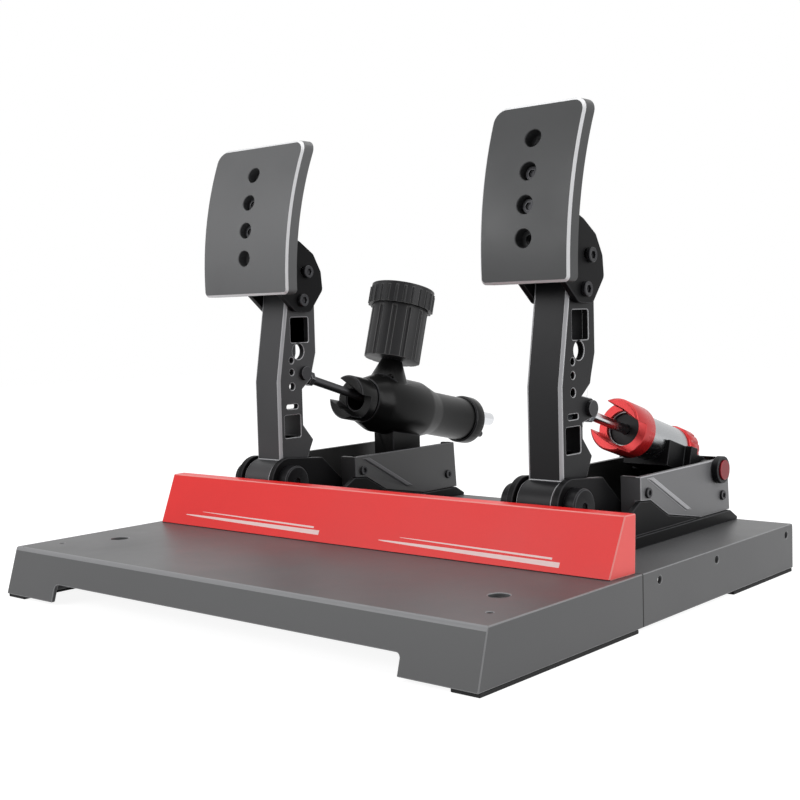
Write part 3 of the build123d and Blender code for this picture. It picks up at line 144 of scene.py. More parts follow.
floor_mesh = bpy.data.meshes.new("floor")
half = floor_size / 2
floor_corners = [(-half, -half, 0), (half, -half, 0), (half, half, 0), (-half, half, 0)]
floor_mesh.from_pydata(floor_corners, [], [(0, 1, 2, 3)])
floor = placed("floor", floor_mesh)
floor_paint = bpy.data.materials.new("floor")
floor_paint.use_nodes = True
tree = floor_paint.node_tree
tree.nodes.clear()
matt = tree.nodes.new("ShaderNodeBsdfDiffuse")
matt.inputs["Color"].default_value = (floor_albedo, floor_albedo, floor_albedo, 1)
glow = tree.nodes.new("ShaderNodeEmission")
glow.inputs["Strength"].default_value = floor_glow
both = tree.nodes.new("ShaderNodeAddShader")
tree.links.new(matt.outputs[0], both.inputs[0])
tree.links.new(glow.outputs[0], both.inputs[1])
plain = tree.nodes.new("ShaderNodeBsdfDiffuse")
plain.inputs["Color"].default_value = (floor_bounce, floor_bounce, floor_bounce, 1)
choose = tree.nodes.new("ShaderNodeMixShader")
tree.links.new(rays_that_see_white(tree), choose.inputs[0])
tree.links.new(plain.outputs[0], choose.inputs[1])
tree.links.new(both.outputs[0], choose.inputs[2])
out = tree.nodes.new("ShaderNodeOutputMaterial")
tree.links.new(choose.outputs[0], out.inputs["Surface"])
floor_mesh.materials.append(floor_paint)


def lamp(name, place, aim, width, height, watts):
    """A soft rectangular lamp at a place, facing a point."""
    data = bpy.data.lights.new(name, "AREA")
    data.shape = "RECTANGLE"
    data.size = width
    data.size_y = height
    data.energy = watts
    made = placed(name, data)
    made.location = place
    made.rotation_euler = (Vector(aim) - Vector(place)).to_track_quat("-Z", "Y").to_euler()


lamp_aim = (0, 0, 0.1)
lamp("lamp_above", (-0.1, 0.1, 1.5), lamp_aim, width=1.6, height=1.6, watts=13.0)
lamp("lamp_right", (1.5, 0.3, 0.6), lamp_aim, width=0.7, height=1.4, watts=12.0)
lamp("lamp_front", (-0.7, -1.5, 0.8), lamp_aim, width=1.2, height=0.8, watts=12.0)


# The front base plate is a folded 3 mm steel sheet, its raked front flange cut into an arch between two legs.
# It is powder coated in satin graphite: a fine peel, slow drifts of tone, and a painted highlight on its
# edges.
plate_graphite = (0.072, 0.0725, 0.074)
# Painted highlight: the rounded edges and the wide front fold are painted lighter.
plate_rim_highlight = (0.2, 0.2, 0.204)
# Painted shade: the gap between the two plates and the faces beside it are near black.
plate_seam_shade = (0.01, 0.01, 0.01)
plate_sheen = 0.44
plate_rim = 0.0006
plate_fold = 0.0026
fold_least = 0.05
level_slack = 0.0001
seam_reach = 0.0014
corner_angle = math.radians(30)
weld_distance = 0.000002
flat_angle = math.radians(0.05)
noise_band = (0.3, 0.7)
drift_scale = 16.0
drift_detail = 6.0
grain_detail = 3.0
grain_height = 0.0002
glossiest = 0.05


def laid_over(tree, under, mark, colour, strength=None):
    """A second colour over the first, where the piece's faces carry a mark."""
    marked = tree.nodes.new("ShaderNodeAttribute")
    marked.attribute_name = mark
    amount = marked.outputs["Fac"]
    if strength:
        part = tree.nodes.new("ShaderNodeMath")
        part.operation = "MULTIPLY"
        tree.links.new(amount, part.inputs[0])
        tree.links.new(strength, part.inputs[1])
        amount = part.outputs["Value"]
    mix = tree.nodes.new("ShaderNodeMix")
    mix.data_type = "RGBA"
    mix.inputs["B"].default_value = (*colour, 1.0)
    tree.links.new(amount, mix.inputs["Factor"])
    tree.links.new(under, mix.inputs["A"])
    return mix.outputs["Result"]


def finish(name, colour, roughness, grain, metallic=0.0, depth=0.1, drift=0.06, painted_rim_light=None,
           brushed=(1.0, 1.0, 1.0), shine=0.5, painted_shade=None):
    """A painted, moulded or machined finish: fine grain, slow drifts of tone and sheen, painted light on the
    rims, and painted shade on marked faces.
    """
    made = bpy.data.materials.new(name)
    made.use_nodes = True
    tree = made.node_tree
    shader = tree.nodes["Principled BSDF"]
    shader.inputs["Metallic"].default_value = metallic
    shader.inputs["Specular IOR Level"].default_value = shine
    place = tree.nodes.new("ShaderNodeTexCoord")
    stretch = tree.nodes.new("ShaderNodeMapping")
    stretch.inputs["Scale"].default_value = brushed
    tree.links.new(place.outputs["Object"], stretch.inputs["Vector"])
    slow = tree.nodes.new("ShaderNodeTexNoise")
    slow.inputs["Scale"].default_value = drift_scale
    slow.inputs["Detail"].default_value = drift_detail
    tree.links.new(place.outputs["Object"], slow.inputs["Vector"])
    fine = tree.nodes.new("ShaderNodeTexNoise")
    fine.inputs["Scale"].default_value = grain
    fine.inputs["Detail"].default_value = grain_detail
    tree.links.new(stretch.outputs["Vector"], fine.inputs["Vector"])
    shade = tree.nodes.new("ShaderNodeMapRange")
    shade.inputs["From Min"].default_value, shade.inputs["From Max"].default_value = noise_band
    shade.inputs["To Min"].default_value = 1.0 - drift
    shade.inputs["To Max"].default_value = 1.0 + drift
    tree.links.new(slow.outputs["Fac"], shade.inputs["Value"])
    fleck = tree.nodes.new("ShaderNodeMapRange")
    fleck.inputs["To Min"].default_value = 1.0 - drift
    fleck.inputs["To Max"].default_value = 1.0 + drift
    tree.links.new(fine.outputs["Fac"], fleck.inputs["Value"])
    tone = tree.nodes.new("ShaderNodeMath")
    tone.operation = "MULTIPLY"
    tree.links.new(shade.outputs["Result"], tone.inputs[0])
    tree.links.new(fleck.outputs["Result"], tone.inputs[1])
    tint = tree.nodes.new("ShaderNodeVectorMath")
    tint.operation = "SCALE"
    tint.inputs[0].default_value = colour
    tree.links.new(tone.outputs["Value"], tint.inputs["Scale"])
    colour_out = tint.outputs["Vector"]
    if painted_rim_light:
        colour_out = laid_over(tree, colour_out, "rim", painted_rim_light, shade.outputs["Result"])
    if painted_shade:
        colour_out = laid_over(tree, colour_out, "painted_shade", painted_shade)
    tree.links.new(colour_out, shader.inputs["Base Color"])
    sheen = tree.nodes.new("ShaderNodeMapRange")
    sheen.inputs["From Min"].default_value, sheen.inputs["From Max"].default_value = noise_band
    sheen.inputs["To Min"].default_value = max(roughness - drift, glossiest)
    sheen.inputs["To Max"].default_value = roughness + drift
    tree.links.new(slow.outputs["Fac"], sheen.inputs["Value"])
    tree.links.new(sheen.outputs["Result"], shader.inputs["Roughness"])
    bump = tree.nodes.new("ShaderNodeBump")
    bump.inputs["Strength"].default_value = depth
    bump.inputs["Distance"].default_value = grain_height
    tree.links.new(fine.outputs["Fac"], bump.inputs["Height"])
    tree.links.new(bump.outputs["Normal"], shader.inputs["Normal"])
    return made


def welded(node):
    """The mesh of a node's solids with its triangles joined up."""
    shape = bmesh.new()
    shape.from_mesh(nodes[node].data)
    bmesh.ops.remove_doubles(shape, verts=shape.verts, dist=weld_distance)
    return shape


def as_mesh(name, shape):
    """The finished shape as a mesh."""
    mesh = bpy.data.meshes.new(name)
    shape.to_mesh(mesh)
    shape.free()
    return mesh


def applied(made):
    """Turns a piece's modifiers into its plain mesh."""
    bpy.context.view_layer.update()
    ready = made.evaluated_get(bpy.context.evaluated_depsgraph_get())
    made.data = bpy.data.meshes.new_from_object(ready)
    made.modifiers.clear()


def settle(made, material, node, rim=0.0, rounds=2, bright=None, painted_shade_test=None, folds=None):
    """Rounds a piece's corners, marks its rims for the painted rim light and its faces for painted shade, and
    puts it in the node's place.
    """
    mesh = made.data
    if folds:
        width, on_fold = folds
        shape = bmesh.new()
        shape.from_mesh(mesh)
        weight = shape.edges.layers.float.new("bevel_weight_edge")
        for edge in shape.edges:
            if len(edge.link_faces) == 2 and edge.calc_face_angle() > corner_angle:
                edge[weight] = 1.0 if on_fold(edge) else rim / width
        shape.to_mesh(mesh)
        shape.free()
    mesh.materials.clear()
    mesh.materials.append(material)
    mesh.polygons.foreach_set("use_smooth", [True] * len(mesh.polygons))
    mesh.set_sharp_from_angle(angle=corner_angle)
    if rim > 0:
        mesh.materials.append(material)
        edge = made.modifiers.new("rim", "BEVEL")
        edge.width = folds[0] if folds else rim
        edge.segments = rounds
        edge.limit_method = "WEIGHT" if folds else "ANGLE"
        edge.angle_limit = corner_angle
        edge.use_clamp_overlap = False
        edge.harden_normals = True
        edge.material = 1
    if made.modifiers:
        applied(made)
    mesh = made.data
    marks = [1.0 if face.material_index else float(bright(face)) if bright else 0.0 for face in mesh.polygons]
    mesh.polygons.foreach_set("material_index", [0] * len(mesh.polygons))
    if len(mesh.materials) > 1:
        mesh.materials.pop(index=1)
    mark = mesh.attributes.new("rim", "FLOAT", "FACE")
    mark.data.foreach_set("value", marks)
    if painted_shade_test:
        mark = mesh.attributes.new("painted_shade", "FLOAT", "FACE")
        mark.data.foreach_set("value", [1.0 if painted_shade_test(face) else 0.0 for face in mesh.polygons])
    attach(made, nodes[node]["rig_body"])
    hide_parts(node)


def dress(node, material, rim, rounds=2, bright=None, painted_shade_test=None, folds=None):
    """The node's own shape, its flat faces made whole and its corners rounded."""
    shape = welded(node)
    bmesh.ops.dissolve_limit(
        shape, angle_limit=flat_angle, verts=shape.verts, edges=shape.edges, delimit={"NORMAL"}
    )
    made = placed(node + "_form", as_mesh(node + "_form", shape))
    settle(made, material, node, rim, rounds, bright, painted_shade_test, folds)
    return made


deck_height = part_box("front_plate")[1].z
seam_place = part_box("rear_plate")[0].y


def on_front_fold(edge):
    """True for the long edge across the front, where the sheet is folded down from the deck."""
    first, second = edge.verts[0].co, edge.verts[1].co
    level = min(first.z, second.z) > deck_height - level_slack
    return level and abs(first.x - second.x) > fold_least and first.y < seam_place - fold_least


def in_seam(face):
    """True for the faces in and beside the gap between the two plates, which are painted near black as shade.
    """
    return abs(face.center.y - seam_place) < seam_reach


plate_coat = finish(
    "plate_coat", plate_graphite, roughness=plate_sheen, grain=1400.0, drift=0.05, painted_rim_light=plate_rim_highlight,
    shine=0.4, painted_shade=plate_seam_shade
)
# The front fold is rounded wide, and its rounded faces carry the painted highlight.
front_fold = (plate_fold, on_front_fold)
dress("front_plate", plate_coat, rim=plate_rim, rounds=3, painted_shade_test=in_seam, folds=front_fold)


# The rear base plate is the same coated sheet, bolted to the front one across the set.
# It carries both pedal modules, and its top edge at the back is folded over a small radius.
dress("rear_plate", plate_coat, rim=plate_rim, painted_shade_test=in_seam)


# Four strips of black rubber under the plates' corners, glued on, with a moulded dimpled surface.
# They hold the set on a floor and take up the play against a rig's deck.
foot_black = (0.022, 0.022, 0.022)
foot_rubber = finish("foot_rubber", foot_black, roughness=0.85, grain=2500.0, depth=0.4, shine=0.25)
dress("rubber_feet", foot_rubber, rim=0.0006)


# Blackened steel socket head screws, with a hexagon socket and a broken edge on the head.
# They are turned, then set on each screw's axis: plate, module, heel stop, cylinder, housing and ear screws.
screw_sides = 24
hexagon = 6
screw_corner_angle = math.radians(28)
screw_edge_share = 0.16
screw_socket_share = 0.55
socket_floor_share = 0.45
screw_break_share = 0.4
screw_socket_rim_share = 1.12
screw_tip_share = 0.8
screw_tip_length_share = 0.25
nut_ease_share = 0.14
nut_face_share = 0.87
nut_tallest = 0.0062
nut_narrowest = 0.0085
screw_black = (0.03, 0.03, 0.033)
# Painted highlight on the screws' rounded rims.
screw_rim_highlight = (0.08, 0.08, 0.085)
screw_steel = finish(
    "screw_steel", screw_black, roughness=0.38, grain=3500.0, metallic=0.7, painted_rim_light=screw_rim_highlight
)


def islands(node):
    """The separate solids of a node, each as its lowest and highest corner."""
    shape = welded(node)
    left = set(shape.verts)
    found = []
    while left:
        stack = [left.pop()]
        group = []
        while stack:
            vertex = stack.pop()
            group.append(vertex.co.copy())
            for link in vertex.link_edges:
                other = link.other_vert(vertex)
                if other in left:
                    left.remove(other)
                    stack.append(other)
        low = Vector([min(point[i] for point in group) for i in range(3)])
        high = Vector([max(point[i] for point in group) for i in range(3)])
        found.append((low, high))
    shape.free()
    return sorted(found, key=lambda pair: tuple(round(v, 5) for v in pair[0]))


def turned(name, rings, sides):
    """A closed solid of rings round Z: each has a radius, a height, and a number of corners or none."""
    shape = bmesh.new()
    loops = []
    for radius, height, corners in rings:
        if radius == 0:
            loops.append([shape.verts.new((0, 0, height))])
            continue
        loop = []
        for index in range(sides):
            angle = 2 * math.pi * index / sides
            reach = radius
            if corners:
                part = math.pi / corners
                reach = radius * math.cos(part) / math.cos((angle % (2 * part)) - part)
            loop.append(shape.verts.new((reach * math.cos(angle), reach * math.sin(angle), height)))
        loops.append(loop)
    for low, high in zip(loops, loops[1:]):
        for index in range(sides):
            after = (index + 1) % sides
            if len(low) == 1:
                shape.faces.new((low[0], high[after], high[index]))
            elif len(high) == 1:
                shape.faces.new((low[index], low[after], high[0]))
            else:
                shape.faces.new((low[index], low[after], high[after], high[index]))
    bmesh.ops.recalc_face_normals(shape, faces=shape.faces)
    mesh = as_mesh(name, shape)
    mesh.polygons.foreach_set("use_smooth", [True] * len(mesh.polygons))
    mesh.set_sharp_from_angle(angle=screw_corner_angle)
    return mesh


def repeats_tree():
    """Puts one shape on every point, turned as the point says, and makes it real in one finish."""
    tree = bpy.data.node_groups.new("repeats", "GeometryNodeTree")
    tree.interface.new_socket(name="Points", in_out="INPUT", socket_type="NodeSocketGeometry")
    tree.interface.new_socket(name="Shape", in_out="INPUT", socket_type="NodeSocketObject")
    tree.interface.new_socket(name="Size", in_out="INPUT", socket_type="NodeSocketFloat")
    tree.interface.new_socket(name="Finish", in_out="INPUT", socket_type="NodeSocketMaterial")
    tree.interface.new_socket(name="Geometry", in_out="OUTPUT", socket_type="NodeSocketGeometry")
    given = tree.nodes.new("NodeGroupInput")
    result = tree.nodes.new("NodeGroupOutput")
    shape = tree.nodes.new("GeometryNodeObjectInfo")
    facing = tree.nodes.new("GeometryNodeInputNamedAttribute")
    facing.data_type = "FLOAT_VECTOR"
    facing.inputs["Name"].default_value = "turn"
    place = tree.nodes.new("GeometryNodeInstanceOnPoints")
    real = tree.nodes.new("GeometryNodeRealizeInstances")
    paint = tree.nodes.new("GeometryNodeSetMaterial")
    tree.links.new(given.outputs["Shape"], shape.inputs["Object"])
    tree.links.new(given.outputs["Points"], place.inputs["Points"])
    tree.links.new(shape.outputs["Geometry"], place.inputs["Instance"])
    tree.links.new(facing.outputs["Attribute"], place.inputs["Rotation"])
    tree.links.new(given.outputs["Size"], place.inputs["Scale"])
    tree.links.new(place.outputs["Instances"], real.inputs["Geometry"])
    tree.links.new(real.outputs["Geometry"], paint.inputs["Geometry"])
    tree.links.new(given.outputs["Finish"], paint.inputs["Material"])
    tree.links.new(paint.outputs["Geometry"], result.inputs["Geometry"])
    return tree


repeats = repeats_tree()


def repeated(name, mesh, places, material):
    """One mesh of a shape repeated at places, each a point and the direction that the shape's Z takes."""
    pattern = bpy.data.objects.new(name + "_one", mesh)
    points = bpy.data.meshes.new(name + "_points")
    points.from_pydata([tuple(point) for point, facing in places], [], [])
    turns = points.attributes.new("turn", "FLOAT_VECTOR", "POINT")
    flat = []
    for point, facing in places:
        flat.extend(Vector(facing).to_track_quat("Z", "Y").to_euler())
    turns.data.foreach_set("vector", flat)
    made = placed(name, points)
    step = made.modifiers.new("repeats", "NODES")
    step.node_group = repeats
    items = repeats.interface.items_tree
    sockets = {item.name: item.identifier for item in items if item.in_out == "INPUT"}
    step[sockets["Shape"]] = pattern
    step[sockets["Size"]] = 1.0
    step[sockets["Finish"]] = material
    applied(made)
    bpy.data.objects.remove(pattern)
    return made


def cap_screw(name, shank, length, head_radius, head):
    """A socket head screw: the head stands on Z nought, the shank runs down from it."""
    edge = head * screw_edge_share
    broken = edge * screw_break_share
    socket = head_radius * screw_socket_share
    socket_floor = head * socket_floor_share
    rings = [
        (0, -length, 0),
        (shank * screw_tip_share, -length, 0),
        (shank, -length + shank * screw_tip_length_share, 0),
        (shank, 0, 0),
        (head_radius - edge / 2, 0, 0),
        (head_radius, edge / 2, 0),
        (head_radius, head - edge, 0),
        (head_radius - broken, head - broken, 0),
        (head_radius - edge, head, 0),
        (socket * screw_socket_rim_share, head, 0),
        (socket, head - broken, hexagon),
        (socket, socket_floor, hexagon),
        (0, socket_floor - edge, 0),
    ]
    return turned(name, rings, screw_sides)


def hex_nut(name, bore, radius, height):
    """A nut on Z nought with its corners eased by a cone."""
    ease = height * nut_ease_share
    rings = [
        (bore, 0, 0),
        (radius * nut_face_share, 0, 0),
        (radius, ease, hexagon),
        (radius, height - ease, hexagon),
        (radius * nut_face_share, height, 0),
        (bore, height, 0),
        (bore, 0, 0),
    ]
    return turned(name, rings, screw_sides)


def end_of(box, axis):
    """The middle of a box's face on the side that an axis points to."""
    low, high = box
    centre = (low + high) / 2
    reach = Vector([abs(a) * (h - l) / 2 for a, l, h in zip(axis, low, high)])
    return centre + Vector([r if a > 0 else -r for a, r in zip(axis, reach)])


def join(name, parts):
    """Several meshes' objects as one object, each where it is."""
    shape = bmesh.new()
    material = [given for given in parts[0].data.materials if given][0]
    for part in parts:
        shape.from_mesh(part.data)
    mesh = as_mesh(name, shape)
    mesh.materials.append(material)
    mesh.polygons.foreach_set("material_index", [0] * len(mesh.polygons))
    for part in parts:
        bpy.data.objects.remove(part)
    return placed(name, mesh)


def fix_screws(node, facing_of, shank, length, head_radius, head, nut=None):
    """Repeats a screw on a node's screws, and a nut on the ends of those that have one."""
    screw = cap_screw(node + "_one", shank, length, head_radius, head)
    screws, nuts = [], []
    for box in islands(node):
        low, high = box
        facing = Vector(facing_of((low + high) / 2))
        along = max(range(3), key=lambda i: abs(facing[i]))
        across = (high - low)[(along + 1) % 3]
        is_nut = nut and (high - low)[along] < nut_tallest and across > nut_narrowest
        (nuts if is_nut else screws).append((box, facing))
    places = [(end_of(box, facing) - facing * head, facing) for box, facing in screws]
    parts = [repeated(node + "_screws", screw, places, screw_steel)]
    if nuts:
        places = [(end_of(box, facing), Vector() - facing) for box, facing in nuts]
        parts.append(repeated(node + "_nuts", nut, places, screw_steel))
    made = join(node + "_form", parts) if len(parts) > 1 else parts[0]
    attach(made, nodes[node]["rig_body"])
    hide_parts(node)


def forwards(centre):
    """A screw put in from the front has its head there, wherever it is."""
    return (0, -1, 0)


def upwards(centre):
    """A screw put in from above has its head on top, wherever it is."""
    return (0, 0, 1)


def sideways(centre):
    """The direction from a pedal module's middle plane to a screw beside it."""
    module = math.copysign(module_x, centre.x)
    return (math.copysign(1, centre.x - module), 0, 0)


module_x = abs(joints["throttle_pedal"]["pos_m"][0])
plate_nut = hex_nut("plate_nut", bore=0.003, radius=0.0055, height=0.005)
fix_screws("seam_bolts", forwards, shank=0.003, length=0.013, head_radius=0.005, head=0.004, nut=plate_nut)
fix_screws("mount_bolts", upwards, shank=0.003, length=0.0175, head_radius=0.0049, head=0.0055, nut=plate_nut)
fix_screws("heel_stop_screws", upwards, shank=0.0025, length=0.008, head_radius=0.0046, head=0.0026)
fix_screws("cylinder_foot_bolts", upwards, shank=0.0025, length=0.011, head_radius=0.0042, head=0.003)
fix_screws("housing_screws", sideways, shank=0.002, length=0.008, head_radius=0.0036, head=0.0018)
for side in ("throttle", "brake"):
    ears = side + "_carrier_screws"
    fix_screws(ears, sideways, shank=0.003, length=0.0125, head_radius=0.005, head=0.0032)
    dress(side + "_pad_screws", screw_steel, rim=0.0003)


# The heel stop is a folded 2.5 mm steel sheet across the plate: a leaning face, a short top and side wings.
# It is painted gloss signal red, with plain white stripes low on its face, and screwed down through its foot.
heel_red = (0.8, 0.022, 0.02)
# Painted highlight: the stop's rounded rims, and its side wings a little, are painted lighter and pinker.
heel_rim_highlight = (0.8, 0.25, 0.23)
heel_wing_highlight = 0.4
heel_wing_turn = 0.5
heel_fold = 0.0028
# Painted shade: the fold along the stop's foot is painted dark red.
heel_foot_shade = (0.09, 0.006, 0.007)
heel_foot_line = 0.002
heel_fold_steps = 4
heel_sheet = 0.0025
heel_foot_half = 0.204
heel_top_half = 0.206
heel_wing_share = 0.07
heel_lean = 0.016
heel_lip = 0.016
heel_low, heel_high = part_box("heel_stop")
stripe_white = (0.85, 0.62, 0.6, 1.0)
stripe_growth = 0.4
# Each stripe: where it starts and ends across the stop, its height there above the foot, and half its width.
stripes = [
    (-0.178, -0.034, 0.0080, 0.0066, 0.0015),
    (-0.160, -0.040, 0.0112, 0.0098, 0.0006),
    (0.022, 0.168, 0.0068, 0.0052, 0.0015),
    (0.040, 0.162, 0.0100, 0.0084, 0.0006),
]


def heel_surface():
    """The stop's outside as one bent sheet, and the strip that is folded back at its foot."""
    foot, top = heel_low.z, heel_high.z
    front, back = heel_low.y, heel_high.y
    corners = []
    for half, start in ((heel_foot_half, front), (heel_top_half, front + heel_lean)):
        out = heel_wing_share * (back - start)
        corners.append([(-half, start), (half, start), (half + out, back), (-half - out, back)])
    shape = bmesh.new()
    rows = []
    for height, row in zip((foot, top), corners):
        rows.append([shape.verts.new((x, y, height)) for x, y in row])
    low, high = rows
    lip_half = heel_foot_half - heel_sheet
    lip = [shape.verts.new((x, front, foot)) for x in (-lip_half, lip_half)]
    lip_back = [shape.verts.new((x, front + heel_lip + heel_sheet, foot)) for x in (lip_half, -lip_half)]
    shape.faces.new((low[0], lip[0], lip[1], low[1], high[1], high[0]))
    shape.faces.new((high[0], high[1], high[2], high[3]))
    shape.faces.new((low[1], low[2], high[2], high[1]))
    shape.faces.new((low[3], low[0], high[0], high[3]))
    shape.faces.new((lip[1], lip[0], lip_back[1], lip_back[0]))
    fold = shape.edges.get((lip[0], lip[1]))
    bmesh.ops.bevel(
        shape, geom=[fold], offset=heel_fold, segments=heel_fold_steps, profile=0.5, affect="EDGES"
    )
    return as_mesh("heel_stop_form", shape)


def at_foot(face):
    """True for the turned-in fold along the stop's foot, which is painted dark red as shade."""
    return face.center.z < heel_low.z + heel_foot_line and face.center.y < heel_low.y + heel_fold


def on_wing(face):
    """How much painted highlight a face carries: the wings a little, the rest not."""
    return heel_wing_highlight if abs(face.normal.x) > heel_wing_turn else 0.0


def add_stripes(material):
    """Plain white stripes on the front of the paint: each grows from a point to a square end."""
    tree = material.node_tree
    shader = tree.nodes["Principled BSDF"]
    base = shader.inputs["Base Color"].links[0].from_socket
    place = tree.nodes.new("ShaderNodeTexCoord")
    axes = tree.nodes.new("ShaderNodeSeparateXYZ")
    tree.links.new(place.outputs["Object"], axes.inputs[0])

    def sum_of(operation, first, second):
        step = tree.nodes.new("ShaderNodeMath")
        step.operation = operation
        for index, value in enumerate((first, second)):
            if isinstance(value, (int, float)):
                step.inputs[index].default_value = value
            else:
                tree.links.new(value, step.inputs[index])
        return step.outputs["Value"]

    cover = None
    for start, end, first, last, half in stripes:
        along = sum_of("DIVIDE", sum_of("SUBTRACT", axes.outputs["X"], start), end - start)
        width = sum_of("MULTIPLY", sum_of("POWER", along, stripe_growth), half)
        width = sum_of("MULTIPLY", width, sum_of("LESS_THAN", along, 1.0))
        height = sum_of("ADD", sum_of("MULTIPLY", along, last - first), heel_low.z + first)
        away = sum_of("ABSOLUTE", sum_of("SUBTRACT", axes.outputs["Z"], height), 0)
        mask = sum_of("GREATER_THAN", width, away)
        cover = mask if cover is None else sum_of("MAXIMUM", cover, mask)
    rise = sum_of("SUBTRACT", axes.outputs["Z"], heel_low.z)
    lean = sum_of("MULTIPLY", rise, heel_lean / (heel_high.z - heel_low.z))
    behind = sum_of("SUBTRACT", axes.outputs["Y"], lean)
    face = sum_of("LESS_THAN", behind, heel_low.y + heel_sheet / 2)
    cover = sum_of("MULTIPLY", cover, face)
    mix = tree.nodes.new("ShaderNodeMix")
    mix.data_type = "RGBA"
    mix.inputs["B"].default_value = stripe_white
    tree.links.new(cover, mix.inputs["Factor"])
    tree.links.new(base, mix.inputs["A"])
    tree.links.new(mix.outputs["Result"], shader.inputs["Base Color"])


heel_paint = finish(
    "heel_paint", heel_red, roughness=0.36, grain=700.0, depth=0.06, drift=0.03, painted_rim_light=heel_rim_highlight,
    shine=0.25, painted_shade=heel_foot_shade
)
add_stripes(heel_paint)
heel_stop = placed("heel_stop_form", heel_surface())
thick = heel_stop.modifiers.new("sheet", "SOLIDIFY")
thick.thickness = heel_sheet
thick.offset = -1.0
thick.use_even_offset = True
settle(heel_stop, heel_paint, "heel_stop", rim=0.0007, rounds=3, bright=on_wing, painted_shade_test=at_foot)


# Each pivot bracket is machined from one block: a thick base with two rounded ears and side skirts.
# It is hard anodised black with a satin sheen, and bolted through the plate at its four corners.
bracket_black = (0.005, 0.005, 0.0055)
# Painted highlight on the brackets' rounded rims.
bracket_rim_highlight = (0.03, 0.03, 0.032)
bracket_coat = finish(
    "bracket_coat", bracket_black, roughness=0.42, grain=1800.0, metallic=0.2, painted_rim_light=bracket_rim_highlight,
    shine=0.08
)
for side in ("throttle", "brake"):
    dress(side + "_pivot_bracket", bracket_coat, rim=0.0006)


# The housings are folded covers over the brackets' rear, held by side screws, with a slanted rib each side.
# The throttle's is coated grey, the brake's nearly black, and the ribs are a lighter tone than the walls.
housing_grey = (0.12, 0.12, 0.124)
# The lighter colours are the ribs' tone, and a painted highlight on the housings' rounded rims.
housing_grey_rib_and_highlight = (0.36, 0.36, 0.37)
housing_black = (0.03, 0.03, 0.031)
housing_black_rib_and_highlight = (0.075, 0.075, 0.08)
# Painted shade: the housings' inner walls are near black.
housing_inside_shade = (0.012, 0.012, 0.012)
housing_rim = 0.0006
rib_proud = 0.0006
housing_half_width = 0.036
housing_wall = 0.002


def on_rib(face):
    """True for the faces that stand proud of the housing's side walls."""
    return abs(abs(face.center.x) - module_x) > housing_half_width + rib_proud


def in_housing(face):
    """True for the faces that look inwards from the housing's side walls, painted near black as shade."""
    beside = abs(face.center.x) - module_x
    return abs(beside) < housing_half_width - housing_wall / 2 and beside * face.normal.x * face.center.x < 0


housing_looks = (
    ("throttle_housing", "housing_grey_coat", housing_grey, housing_grey_rib_and_highlight, "grey_housing"),
    ("brake_housing", "housing_black_coat", housing_black, housing_black_rib_and_highlight, "black_housing"),
)
for housing, name, colour, painted_rim_light, slot in housing_looks:
    coat = finish(
        name, colour, roughness=0.42, grain=1400.0, depth=0.15, painted_rim_light=painted_rim_light, painted_shade=housing_inside_shade
    )
    dress(housing, coat, rim=housing_rim, bright=on_rib, painted_shade_test=in_housing)


# The pedals turn on hardened ground axles in flanged bronze bearings, pressed into the bracket's ears.
# A black anodised cap with a key socket closes each end.
cap_black = (0.009, 0.009, 0.01)
# Painted highlight on the caps' rounded rims.
cap_rim_highlight = (0.04, 0.04, 0.043)
ground_bright = (0.6, 0.61, 0.63)
ground_lines = (8, 1, 1)
bronze_brown = (0.42, 0.28, 0.13)
cap_coat = finish(
    "cap_coat", cap_black, roughness=0.35, grain=2500.0, metallic=0.2, painted_rim_light=cap_rim_highlight, shine=0.1
)
ground_steel = finish(
    "ground_steel", ground_bright, roughness=0.22, grain=2500.0, metallic=1.0, depth=0.04,
    brushed=ground_lines
)
bronze = finish("bearing_bronze", bronze_brown, roughness=0.4, grain=2500.0, metallic=1.0)
for side in ("throttle", "brake"):
    dress(side + "_axle", ground_steel, rim=0.0004)
    dress(side + "_bearings", bronze, rim=0.0003)
    dress(side + "_axle_caps", cap_coat, rim=0.0005)


# Each pedal arm is a machined channel with pockets, windows and weight holes, open at the back for the rod.
# It is anodised black, the brake's copy painted a little greyer as it is lit more, and its front chamfers
# carry a painted highlight.
# The brake's arm is painted greyer for the light on it; the chamfers' light tone is a painted highlight.
arm_black = (0.01, 0.01, 0.011)
arm_lit_grey = (0.048, 0.048, 0.05)
arm_chamfer_highlight = (0.34, 0.34, 0.35)
chamfer_sideways = (0.45, 0.9)
chamfer_forwards = 0.3
chamfer_area = 0.00001


def on_front_corner(face):
    """True for the chamfers down the arm's front corners."""
    least, most = chamfer_sideways
    aslant = least < abs(face.normal.x) < most and face.normal.y < -chamfer_forwards
    return aslant and face.area > chamfer_area


for side, tone in (("throttle", arm_black), ("brake", arm_lit_grey)):
    coat = finish(
        side + "_arm_coat", tone, roughness=0.4, grain=1800.0, metallic=0.3, painted_rim_light=arm_chamfer_highlight, shine=0.2
    )
    dress(side + "_arm", coat, rim=0.0006, bright=on_front_corner)


# The link pins are shouldered steel bolts through the arms' lugs, with a nut, and spacers beside the eye.
# The throttle's rod end is zinc plated steel, the brake's is blackened.
zinc_grey = (0.3, 0.33, 0.36)
# Painted highlight on the zinc plated rims.
zinc_rim_highlight = (0.5, 0.52, 0.55)
blackened = (0.06, 0.06, 0.063)
